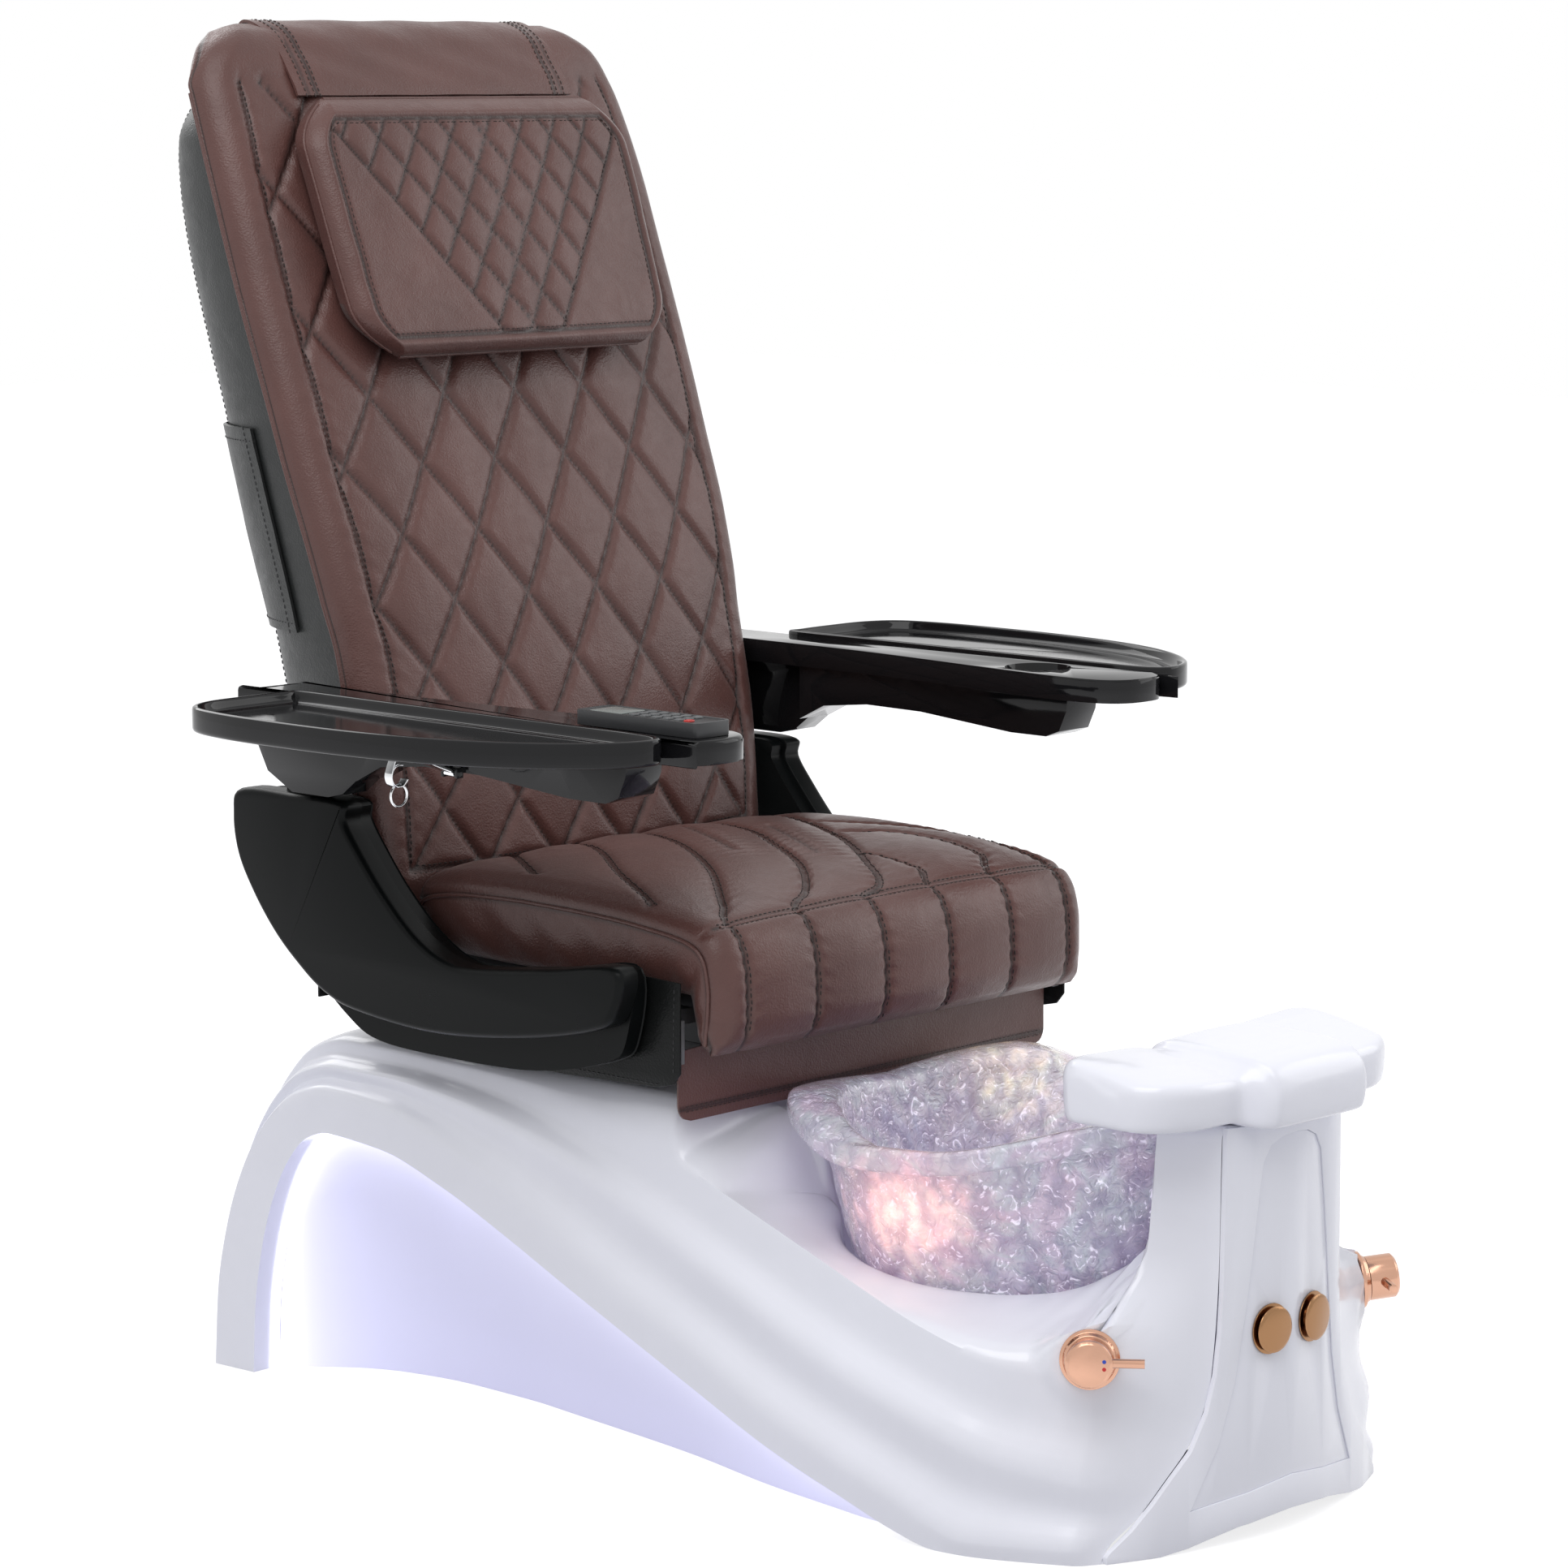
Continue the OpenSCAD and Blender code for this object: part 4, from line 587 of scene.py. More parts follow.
# ---------- bowl and base ----------
BOWL_C, BOWL_W, BOWL_L, RIM_Z, FOOT_Z, GLASS_T = -375, 232, 225, 362, 145, 16
DRAIN_Y, DRAIN_R = BOWL_C - 46, 26
DECK_Z, BASE_FRONT, FAN_Y, COLUMN_TOP, COLUMN_REAR = 390, 664, 375, 412, -612
RECESS_Z, LEDGE_W, FLUTE = 285, 40, 9
BOWL_STEPS, WALL_STEPS, FLOOR_SIZE, RIM_DEEP = 288, 34, 0.50, 26
ARCH_REAR, RECESS_REAR = 560.0, 500


def bowl_width(y):
    return mix(0.62, 1, ease((y - BOWL_C + BOWL_L) / (1.5 * BOWL_L)))


def bowl_scale(x, y):
    u, v = np.abs(x) / (BOWL_W * bowl_width(y)), np.abs(y - BOWL_C) / BOWL_L
    return (u**2.5 + v**2.5) ** (1 / 2.5)


def rim_height(x, y):
    return (RIM_Z + 32 * ease((y - BOWL_C - 0.3 * BOWL_L) / (0.6 * BOWL_L))
            * (0.6 + 0.4 * np.minimum(1, np.abs(x) / 180)) + 44 * ease((BOWL_C - y) / (1.05 * BOWL_L)))


def wall_size(t):
    return mix(FLOOR_SIZE, 0.93, t ** (1 / 2.6))


def bowl_under(x, y):
    depth = np.clip((bowl_scale(x, y) - FLOOR_SIZE) / 0.43, 0, 1) ** 2.6
    return mix(FOOT_Z, rim_height(x, y) - RIM_DEEP, depth)


def bowl_ring(angle, s):
    """Points of the bowl's outline at size s, with the height of the rim above each."""
    def at(size):
        v, u = np.sin(angle), np.cos(angle)
        bend = 0.8 - 0.2 * ease((size - 0.9) / 0.08) * ease(v / 0.25)
        y = BOWL_C + size * BOWL_L * np.sign(v) * np.abs(v) ** bend
        w = BOWL_W * bowl_width(BOWL_C + (y - BOWL_C) / size)
        return size * w * np.sign(u) * np.abs(u) ** bend, y
    x, y = at(s)
    return x, y, rim_height(*at(1.0))


SIDE_X = [[-BASE_FRONT, 214], [-640, 222], [-612, 240], [-560, 268], [-510, 288], [-420, 297], [-200, 300],
          [FAN_Y, 302]]
RECESS_TOP = [[-456, 0], [-425, 12], [-274, 59], [-163, 104], [9, 176], [177, 246], [288, RECESS_Z - 6],
              [FAN_Y, RECESS_Z]]
CREST_1 = [[-BASE_FRONT, 12], [-518, 14], [-435, 42], [-274, 96], [-175, 140], [-61, 187], [68, 251], [176, 294],
           [275, 323], [FAN_Y, 332]]
CREST_2 = [[-BASE_FRONT, 68], [-550, 92], [-450, 122], [-329, 160], [-164, 229], [-50, 278], [67, 319], [188, 346],
           [312, 358], [FAN_Y, 356]]
CREST_3 = [[-BASE_FRONT, 168], [-612, 184], [-538, 186], [-435, 211], [-329, 249], [-220, 288], [-108, 328],
           [7, 361], [126, DECK_Z - 14], [FAN_Y, DECK_Z - 9]]
LIP_Z = [[-600, 322], [-575, 290], [-545, 255], [-500, 228], [-420, 219], [-340, 223], [-240, 246], [-190, 282],
         [-165, 330], [-148, 350], [-128, 362]]
COLUMN_X = [[0, 220], [12, 210], [31, 188], [70, 154], [98, 128], [135, 109], [168, 100], [198, 96], [245, 93],
            [400, 91]]
FACE_PLAN = [[0, BASE_FRONT + 26], [60, BASE_FRONT + 19], [104, BASE_FRONT + 7], [131, BASE_FRONT],
             [168, BASE_FRONT - 12], [214, BASE_FRONT - 32]]
WELL = [0.93, 0.84, 0.74, 0.6, 0]
SEAT_FRONT = BOWL_C + BOWL_L + 16
DECK_FRONT = SEAT_FRONT + 12
STATIONS = [FAN_Y, 290, 200, 110, 20, -60, DECK_FRONT + 16, DECK_FRONT - 3, -140, -158, -172, -188, -205, -228,
            -260, -310, -370, -430, -480, -512, -535, -555, -572, -586, -598, COLUMN_REAR]
REAR_TURN = np.radians([0, 15, 30, 45, 60, 75])


def side_levels(y, flute=FLUTE):
    sx, z1 = curve(SIDE_X, y), curve(RECESS_TOP, y)
    z2 = max(z1 + 16, curve(CREST_1, y))
    z4 = max(z2 + 16, curve(CREST_2, y))
    z6 = max(z4 + 16, curve(CREST_3, y))
    return [[sx - LEDGE_W, z1], [sx - 3, z1], [sx, z2], [sx - 6 - flute, (z2 + z4) / 2], [sx - 10, z4],
            [sx - 20 - flute, (z4 + z6) / 2], [sx - 30, z6]]


def deck_levels(y):
    sx = curve(SIDE_X, y)
    return [[sx - 48, DECK_Z - 2], [sx - 72, DECK_Z]] + [[f * (sx - 72), DECK_Z] for f in WELL]


def lip_x(y, z):
    t = (z - FOOT_Z) / (RIM_Z - RIM_DEEP - FOOT_Z)
    s, v = wall_size(np.clip(t, 0, 1)), abs(y - BOWL_C) / BOWL_L
    return max(130 if y > -200 else 60, BOWL_W * bowl_width(y) * max(0, s**2.5 - v**2.5) ** (1 / 2.5) + 5)


def well_levels(y):
    sx, lz, z6 = curve(SIDE_X, y), curve(LIP_Z, y), curve(CREST_3, y)
    lx = lip_x(y, lz)
    floor = [[f * lx, min(DECK_Z, bowl_under(0.95 * f * lx, BOWL_C + 0.95 * (y - BOWL_C)) - 7)] for f in WELL]
    return [[mix(sx - 30, lx, 0.5), mix(z6, lz, 0.5) + 4], [lx, lz]] + floor


def half_section(y):
    if y > DECK_FRONT:
        return side_levels(y) + deck_levels(y)
    if y > COLUMN_REAR + 8:
        return side_levels(y) + well_levels(y)
    out = mix(120, 106, (COLUMN_REAR - y) / 40)
    return side_levels(y) + [[out + 6, 290], [out, 400]] + [[f * out, COLUMN_TOP] for f in WELL]


def both_sides(half):
    half = np.array(half, float)
    return np.concatenate([half * [-1, 1], half[-2::-1]])


def face_y(x):
    p = np.array(FACE_PLAN)
    return -np.interp(np.abs(x), p[:, 0], p[:, 1])


def base_rows():
    rows = []
    for a in REAR_TURN:
        h = both_sides(side_levels(FAN_Y, FLUTE * math.sin(a)) + deck_levels(FAN_Y))
        reach = np.full(len(h), ARCH_REAR - FAN_Y)
        reach[[0, 1, -2, -1]] = RECESS_REAR - FAN_Y
        rows.append(np.stack([h[:, 0], FAN_Y + reach * math.cos(a), h[:, 1] * math.sin(a)], 1))
    for y in STATIONS:
        h = both_sides(half_section(y))
        rows.append(np.stack([h[:, 0], np.full(len(h), float(y)), h[:, 1]], 1))
    front = [[COLUMN_X[0][1] - LEDGE_W, 0], [COLUMN_X[0][1] - 3, 0]]
    front += [[float(curve(COLUMN_X, z)), z] for z in (12, 40, 68, 115, 168, 290, 400)]
    front += [[f * COLUMN_X[-1][1], COLUMN_TOP] for f in WELL]
    h = both_sides(front)
    rows.append(np.stack([h[:, 0], face_y(h[:, 0]) + 6.15, h[:, 1]], 1))
    return np.array(rows)


def tap_frame(side):
    """Matrix of a tap's seat: +Z points out of the base along the knob's axis."""
    turn = Matrix.Rotation(math.radians(-38), 4, "Z") @ Matrix.Rotation(math.radians(84), 4, "Y")
    made = Matrix.Translation((203, -600, 196)) @ turn
    return made if side > 0 else Matrix.Diagonal((-1, 1, 1, 1)) @ made


def flatten_tap_seats(points):
    """Presses the moulded shell flat under each tap's flange."""
    for side in (-1, 1):
        m = np.array(tap_frame(side), float)
        local = (points.reshape(-1, 3) - m[:3, 3]) @ m[:3, :3]
        r = np.hypot(local[:, 0], local[:, 1])
        w = np.where(np.abs(local[:, 2] - 5) < 45, ease((52 - r) / 18), 0)
        local[:, 2] = mix(local[:, 2], 11.7, w)
        points = (local @ m[:3, :3].T + m[:3, 3]).reshape(points.shape)
    return points


def thicken(made, depth):
    skin = made.modifiers.new("wall", "SOLIDIFY")
    skin.thickness = depth * MM
    skin.offset = -1
    apply_modifiers(made)
    smooth_by_angle(made.data, 40)
    return made


def make_base_shell():
    grid = refine_both(base_rows(), 5, 5, sharp=(1, 25))
    grid = flatten_tap_seats(grid)
    mesh = bpy.data.meshes.new("moulded_base")
    mesh.from_pydata((grid.reshape(-1, 3) * MM).tolist(), [], grid_faces(*grid.shape[:2]))
    mesh.update()
    rise = np.array([p.normal.z * p.area for p in mesh.polygons]).sum()
    if rise < 0:
        mesh.flip_normals()
    mesh.materials.append(gelcoat())
    made = linked("moulded_base", mesh)
    thicken(made, 4)
    seat(made, "base", ("base_shell",))


def lit_material(name, colour, glow, strength):
    if finished(name):
        return finished(name)
    made, tree, surface, where = shader(name, Roughness=0.22, IOR=1.45, Emission_Strength=strength)
    level, cloud = mask_value(tree, "glow"), clouds(tree, where, 3.0, Detail=3.0)
    base = blend_colours(tree, spread(tree, cloud, 0.3, 0.7), (*(Vector(colour) * 0.97), 1), (*colour, 1))
    # Painted light: on the recess panels the emission stands in for the light the LED strips cast on them, and the
    # glow mask makes it strongest near the strips; on the LED bands it is the strips' own light.
    light = blend_colours(tree, level, (0, 0, 0, 1), (*glow, 1))
    normal = bumps(tree, clouds(tree, where, 300.0), 0.05, 0.0003)
    feed(tree, surface, {"Base Color": base, "Emission Color": light, "Normal": normal})
    return made


PANEL_FLOOR = [[-440, 262], [-395, 258], [-218, 236], [-72, 206], [131, 180], [215, 172], [315, 173], [380, 186],
               [426, 206], [470, 240], [496, 260]]


def make_lit_sides():
    look = chair().base
    panel = lit_material("lit_panel", look.panel, look.glow, look.glow_strength)
    led = lit_material("led_diffuser", (0.9, 0.9, 0.95), look.glow, 2.6 * look.glow_strength)
    rows = [[FAN_Y + (RECESS_REAR - FAN_Y - 0.3) * math.cos(a), (RECESS_Z - 0.3) * math.sin(a)] for a in REAR_TURN]
    rows += [[y, float(curve(RECESS_TOP, y)) - 0.3] for y in STATIONS if y > -440]
    shell = base_rows()
    last = shell.shape[1] - 1
    lit = [i for i in range(len(shell)) if shell[i][0][1] > -345]
    for side, word in SIDES:
        face = []
        for y, top in rows:
            far = float(curve(SIDE_X, y)) - LEDGE_W - 0.6
            low = min(far, float(curve(PANEL_FLOOR, y)))
            face.append([[side * mix(low, far, t**1.7), y, t * top] for t in np.linspace(0, 1, 6)])
        face = refine_both(np.array(face), 4, 4)
        back = face - [side * 4, 0, 0]
        drop = np.linalg.norm(face - face[:, -1:], axis=-1)
        rim = np.minimum(drop, 0.8 * np.abs(face[..., 1] - face[0, 0, 1]))
        # Painted light from the LED strips: brightest along the panel's top and rear edges, next to the strips,
        # fading inwards.
        level = 0.20 + 0.54 * np.exp(-rim / 24) + 0.26 * np.exp(-rim / 66)
        piece("lit_side_" + word, *sheet(face, back), panel, "base", ("side_panel_" + word,), "lit_panel",
              masks={"glow": np.concatenate([level.ravel(), level.ravel()])})
        band = []
        for i in lit:
            a, b = shell[i][last], shell[i][last - 1]
            ahead = shell[min(i + 1, len(shell) - 1)][last] - shell[max(i - 1, 0)][last]
            n = np.cross(ahead, b - a)
            n /= np.linalg.norm(n)
            n = n if n[2] < 0 else -n
            band.append([[mix(a, b, t) + d * n for t in (0.08, 0.16, 0.26, 0.34)] for d in (0.3, 3.0)])
        band = np.array(band) * [side, 1, 1]
        outer, inner = refine(band[:, 0], 4), refine(band[:, 1], 4)
        points, faces = sheet(inner, outer)
        piece("led_band_" + word, points, faces, led, "base", ("led_strip_" + word,), "led_diffuser",
              masks={"glow": np.ones(len(points))})


def glass():
    if finished("glass"):
        return finished("glass")
    look = chair().bowl
    made, tree, surface, where = shader("glass", Transmission_Weight=0.55, IOR=1.5, Roughness=0.02,
                                        Coat_Weight=1.0, Coat_Roughness=0.02, Emission_Strength=1.0)
    bands = put(tree, "ShaderNodeValToRGB", {"Fac": clouds(tree, where, 9.0, Detail=4.0, Distortion=1.6)})
    ramp = bands.color_ramp
    ramp.elements[0].position, ramp.elements[1].position = 0.30, 0.72
    ramp.elements[0].color = (0.74, 0.78, 0.99, 1)
    ramp.elements[1].color = (0.99, 0.80, 0.95, 1)
    for at, tint in ((0.42, (0.93, 0.86, 0.99, 1)), (0.50, (0.86, 0.96, 0.99, 1)), (0.60, (0.97, 0.84, 0.98, 1))):
        ramp.elements.new(at).color = tint
    warp = put(tree, "ShaderNodeTexNoise", {"Vector": where, "Scale": 38.0, "Detail": 2.0})
    moved = put(tree, "ShaderNodeMix", {0: 0.022, 4: where, 5: warp.outputs[1]}, data_type="VECTOR").outputs[1]
    moved = put(tree, "ShaderNodeVectorMath", {0: moved, 1: (1, 1, look.dimple_stretch)},
                operation="MULTIPLY").outputs[0]
    cells = put(tree, "ShaderNodeTexVoronoi", {"Vector": moved, "Scale": 1 / look.dimple_size, "Smoothness": 0.35},
                feature="SMOOTH_F1").outputs["Distance"]
    ripples = clouds(tree, where, 75.0, Detail=2.0, Distortion=2.4)
    relief, warm_lamp_light, yellow_lamp_light = (mask_value(tree, name) for name in ("relief", "warm_lamp_light", "yellow_lamp_light"))
    # Painted shade and refraction: the colour turns grey-violet at the dimples' edges and along streaks, standing
    # in for the dark veins that refraction and reflection draw in the glass.
    edge = times(tree, spread(tree, cells, 0.42, 0.72), relief)
    painted_refraction_streak = times(tree, spread(tree, ripples, 0.56, 0.72), relief)
    tint = blend_colours(tree, times(tree, edge, 0.66), bands.outputs[0], (0.46, 0.41, 0.58, 1))
    tint = blend_colours(tree, times(tree, painted_refraction_streak, 0.60), tint, (0.44, 0.48, 0.62, 1))
    painted_glint = times(tree, spread(tree, ripples, 0.40, 0.30), relief)
    # Painted light: the emission gives the whole glass a faint glow and adds painted glints on the hammered walls.
    glow = blend_colours(tree, painted_glint, (0.02, 0.014, 0.024, 1), (0.46, 0.43, 0.50, 1))
    # Painted light of the lamps behind the glass: a warm pool and a yellow pool of emission, laid on by the two
    # masks.
    lamp_light_share = times(tree, warm_lamp_light, spread(tree, cells, 0.15, 0.6, 1.0, 0.35))
    glow = blend_colours(tree, lamp_light_share, glow, (*look.warm_glow, 1))
    lamp_light_share = times(tree, yellow_lamp_light, spread(tree, cells, 0.1, 0.5, 1.0, 0.2))
    glow = blend_colours(tree, lamp_light_share, glow, (0.98, 0.74, 0.36, 1))
    normal = bumps(tree, maths(tree, cells, ripples), relief, 0.006)
    feed(tree, surface, {"Base Color": tint, "Emission Color": glow, "Normal": normal})
    return made


def make_glass_bowl():
    look = chair().bowl
    turn = -np.radians(np.arange(BOWL_STEPS) * 360 / BOWL_STEPS)
    thin = GLASS_T / BOWL_W
    to_wall = (0.2, 0.5, 0.8, 1)
    rings, relief = [], []

    def add(s, height, rough):
        x, y, top = bowl_ring(turn, s)
        rings.append(np.stack([x, y, height(top) + 0 * x], 1))
        relief.append(rough)

    def to_drain(share, z):
        x, y, _ = bowl_ring(turn, FLOOR_SIZE if z == FOOT_Z else FLOOR_SIZE - thin)
        cx, cy = DRAIN_R * np.cos(turn), DRAIN_Y + DRAIN_R * np.sin(turn)
        rings.append(np.stack([mix(x, cx, share), mix(y, cy, share), z + 0 * x], 1))
        relief.append(0.0)

    for share in to_wall[::-1]:
        to_drain(share, FOOT_Z)
    for t in np.linspace(0, 1, WALL_STEPS) ** 1.6:
        add(wall_size(t), lambda top, t=t: mix(FOOT_Z, top - RIM_DEEP, t), 1.0)
    bend = [(0.955, 25), (0.985, 23.5), (0.996, 21), (1, 17), (1.0, 12), (0.999, 7), (0.995, 3.5), (0.986, 1.2),
            (0.972, 0.2), (0.95, 0), (0.92, 0.3), (0.90, 1.2), (0.884, 2.8), (0.872, 4.6)]
    for s, drop in bend:
        add(s, lambda top, drop=drop: top - drop, 0.0)
    for t in np.linspace(1, 0, WALL_STEPS) ** 1.6:
        add(wall_size(t) - thin, lambda top, t=t: mix(FOOT_Z + GLASS_T, top - 6, t), 1.0)
    for share in to_wall:
        to_drain(share, FOOT_Z + GLASS_T)
    grid = np.array(rings)
    rough = np.array(relief)[:, None] * np.ones(grid.shape[1])
    rough[3:8] *= np.linspace(0, 1, 5)[:, None]
    # The rim band takes the same mask as the hammered walls, so it gets their bumps, painted glints and painted
    # shade too.
    relief_and_painted_light, rim = rough.copy(), len(to_wall) + WALL_STEPS
    relief_and_painted_light[rim:rim + len(bend)] = 0.6
    along_ring = np.roll(grid, -1, 1) - np.roll(grid, 1, 1)
    up = np.gradient(grid, axis=0)
    normal = unit(np.cross(along_ring, up))
    cell = look.dimple_size / MM
    flat = grid.reshape(-1, 3) * [1, 1, look.dimple_stretch]
    dents = np.array([noise.voronoi(Vector(p) / cell)[0][0] for p in flat]).reshape(grid.shape[:2])
    grid = grid + normal * (rough * (dents - 0.45) * look.dimple_depth / MM)[..., None]
    points, n = grid.reshape(-1, 3), grid.shape[0]
    faces = grid_faces(n + 1, grid.shape[1], ring=True)
    total = len(points)
    faces = [[k % total for k in f] for f in faces]
    # Where the painted pools of lamp light sit on the glass: one warm and one yellow, each fading out from its own
    # centre.
    warm_lamp_light = np.exp(-(((points - [-195, -350, 292]) / [60, 62, 46]) ** 2).sum(1))
    yellow_lamp_light = 0.9 * np.exp(-(((points - [165, -180, 350]) / [60, 60, 46]) ** 2).sum(1))
    piece("glass_foot_bowl", points, faces, glass(), "base", ("glass_bowl",), "glass", 60,
          {"relief": relief_and_painted_light.ravel(), "warm_lamp_light": warm_lamp_light, "yellow_lamp_light": yellow_lamp_light})


def rest_section(rear, front, low, top_rear, top_front, r):
    out = [[rear - r - r * math.cos(math.radians(a)), top_rear - r + r * math.sin(math.radians(a))]
           for a in (180, 150, 120, 90)]
    out += [[front + r - r * math.cos(math.radians(a)), top_front - r + r * math.sin(math.radians(a))]
            for a in (90, 60, 30, 0)]
    return out + [[front + 3, low + 6], [front + 9, low], [rear - 9, low], [rear - 3, low + 6]]


def make_footrest():
    top, half, ridge = 478, 194, 74

    def lobe(x, pull, cut, drop):
        p = rest_section(-545 - pull, -688 + cut, top - 62 + 0.25 * drop, top - drop, top - 13 - drop, 14)
        return [[x, q[0], q[1]] for q in p]

    def hump(x, drop):
        p = rest_section(-553, -724 + drop, COLUMN_TOP + 0.3, top + 6 - drop, top + 2 - drop, 34)
        return [[x, q[0], q[1]] for q in p]

    right = [lobe(half, 16, 62, 12), lobe(half - 4, 8, 44, 5), lobe(half - 14, 2, 28, 1), lobe(half - 32, 0, 14, 0),
             lobe(half - 60, 0, 4, 1), lobe(ridge + 16, 0, 0, 3), hump(ridge, 9), hump(ridge - 8, 2), hump(0, 0)]
    rings = np.array(right)
    rings = refine(np.concatenate([rings, rings[-2::-1] * [-1, 1, 1]]), 6)
    before, steps = 3, 5
    wrap = np.concatenate([rings[:, -before:], rings, rings[:, :4]], 1)
    fine = np.swapaxes(refine(np.swapaxes(wrap, 0, 1), steps), 0, 1)
    fine = fine[:, before * steps:(before + rings.shape[1]) * steps]
    ends = []
    for end, out in ((fine[0], 1.0), (fine[-1], -1.0)):
        middle = end.mean(0)
        ends.append([mix(end, middle, s) + [out * push, 0, 0]
                     for s, push in ((0.05, 0.7), (0.14, 1.3), (0.35, 1.8), (0.8, 2.1))])
    fine = np.concatenate([np.array(ends[0])[::-1], fine, np.array(ends[1])])
    made = piece("foot_rest", *loft(fine, "flat"), gelcoat(), "base", ("footrest_pad",), "white_gelcoat", 75)
    skin = made.modifiers.new("skin", "REMESH")
    skin.mode = "VOXEL"
    skin.voxel_size = 2.4 * MM
    soften = made.modifiers.new("soften", "SMOOTH")
    soften.factor = 0.5
    soften.iterations = 7
    apply_modifiers(made)
    smooth_by_angle(made.data, 75)


HARD_PIECES = [
    (0.8, "white_gelcoat", ("front_fascia", "access_panel")),
    (0.5, "rose_gold", ("tap_flange_left", "tap_flange_right")),
    (0.5, "copper", ("button_bezels",)),
    (0.9, "rose_gold", ("tap_handle_left", "tap_handle_right")),
    (0.8, "copper", ("air_button_left", "air_button_right")),
    (0.5, "brass", ("tap_valve_left", "tap_valve_right")),
    (0.5, "chrome", ("drain_fitting", "jet_cover")),
    (0.8, "chrome", ("drain_stopper",)),
    (0.8, "painted_steel", ("base_frame", "footrest_post")),
    (0.6, "plated_steel", ("slide_rails",)),
    (0.6, "dark_plastic", ("jet_housing", "control_box", "slide_motor")),
    (0.6, "rubber", ("levelling_feet",)),
    (0.8, "painted_steel", ("seat_carriage",)),
    (0.8, "dark_plastic", ("seat_pan",)),
    (0.6, "plated_steel", ("arm_pins",)),
    (0.6, "dark_plastic", ("recline_actuator",)),
    (0.5, "plated_steel", ("actuator_rod",)),
    (0.8, "painted_steel", ("back_frame",)),
    (0.6, "dark_plastic", ("massage_carriage",)),
    (1.6, "gloss_black", ("arm_body_left", "arm_body_right")),
    (0.4, "chrome", ("tray_strut_left", "tray_strut_right")),
    (1.2, "dark_plastic", ("remote_control",)),
]


def make_hard_pieces():
    look = finishes()
    groups = frame["record"]["behaviour"]["bodies"]
    body_of = {n: body for body, nodes in groups.items() for n in nodes}
    for bevel, finish, nodes in HARD_PIECES:
        for n in nodes:
            fitted(n, look[finish], body_of[n], bevel)


def upholstered(name, shape, skin, body, node, seam, angle=60):
    """Leather piece with painted shade along its seams, where their creases would be shaded."""
    cover = brown_leather() if skin == "brown_leather" else black_leather()
    return piece(name, *shape, cover, body, (node,), skin, angle, {"seam": seam})


# ---------- seat ----------
SEAT_OVER = [[250, -34], [246, -16], [222, -5], [160, 2], [90, 4], [20, 3], [-50, 0], [-110, -6], [-152, -13],
             [-176, -24], [-190, -44], [-197, -75], [-198, -110], [-192, -135], [-178, -149]]
SEAT_UNDER = [[244, 545], [236, 520], [210, 501], [150, 498], [90, 497.3], [30, 497.3], [-30, 497.3], [-80, 497.3],
              [-110, 497.3], [-126, 497.3], [-137, 497], [-143, 482], [-147, 464], [-153, 450], [-164, 441]]
SEAT_W, SEAT_TOP, SEAT_ROUND, FRONT_SEAM = 283, 590, 22, -168
SEAT_SEAMS = [
    [(-246, -420), (-246, -168), (-215, -130), (-115, -15), (-25, 120), (30, 235)],
    [(-147, -420), (-147, -168), (-105, -140), (-30, -65), (30, 25), (92, 125), (130, 215)],
    [(-45, -420), (-45, -168), (-18, -160), (53, -80), (120, 12), (165, 90), (235, 215)],
    [(55, -420), (55, -168), (80, -130), (82, -90), (75, -50)],
    [(155, -420), (155, -168), (197, -115), (210, -46), (202, 6), (140, 50)],
    [(250, -420), (250, -168), (254, -127), (264, -55), (250, 20), (190, 120)],
    [(-270, -85), (-200, 30), (-95, 175), (-55, 255)],
    [(-255, 100), (-170, 215), (-140, 250)],
]
SEAT_PLEATS = [[(60, 190), (-35, 25)], [(120, 120), (25, -40)]]


def soft_line(points, steps=8):
    return refine(np.array(points, float), steps)


def seat_path():
    """Stations of the seat pad as top and underside points, outward directions and flat positions."""
    over = refine(np.array(SEAT_OVER, float) + [0, SEAT_TOP], 12)
    under = refine(np.array(SEAT_UNDER, float), 12)
    d = unit(np.gradient(over, axis=0))
    out = np.stack([d[:, 1], -d[:, 0]], 1)
    run = np.concatenate([[0], np.cumsum(np.linalg.norm(np.diff(over, axis=0), axis=1))])
    k = int(np.argmax(over[:, 0] < -160))
    flat = np.where(np.arange(len(over)) <= k, over[:, 0], over[k, 0] - (run - run[k]))
    return over, under, out, flat


def seat_relief(x, v):
    """Height of the quilted surface above the plain pad, and a mask of painted shade in the creases of the seams,
    pleats and front welt.
    """
    seams = [soft_line(s) for s in SEAT_SEAMS]
    d = line_distance(x, v, seams)
    p = line_distance(x, v, [soft_line(s, 3) for s in SEAT_PLEATS])
    edge = np.minimum(SEAT_W - 14 - np.abs(x), 400)
    calm = 1 - 0.65 * bell(v - FRONT_SEAM, 32)
    puff = 4.6 * (1 - np.exp(-np.minimum(d, edge) / 24)) * calm
    dent = (4.2 * bell(d, 4.2) + 2.4 * bell(p, 4)) * calm
    pucker = 0.75 * np.sin(v / 2.7 + 3 * np.sin(x / 23)) * bell(d, 14)
    pleat = 1.1 * np.sin(v / 3.4 + x / 9) * bell(p - 14, 18)
    crown = 7 * (1 - (x / SEAT_W) ** 2)
    front = 3.0 * bell(v - FRONT_SEAM, 5.0)
    # Painted shade mask: strongest in the creases of the seams, the pleats and the front welt.
    seam = np.maximum(bell(d, 2.6), 0.7 * bell(p, 2.2))
    seam = np.maximum(seam, bell(v - FRONT_SEAM, 2.6))
    return crown + puff - dent + pucker + pleat - front - 4, seam


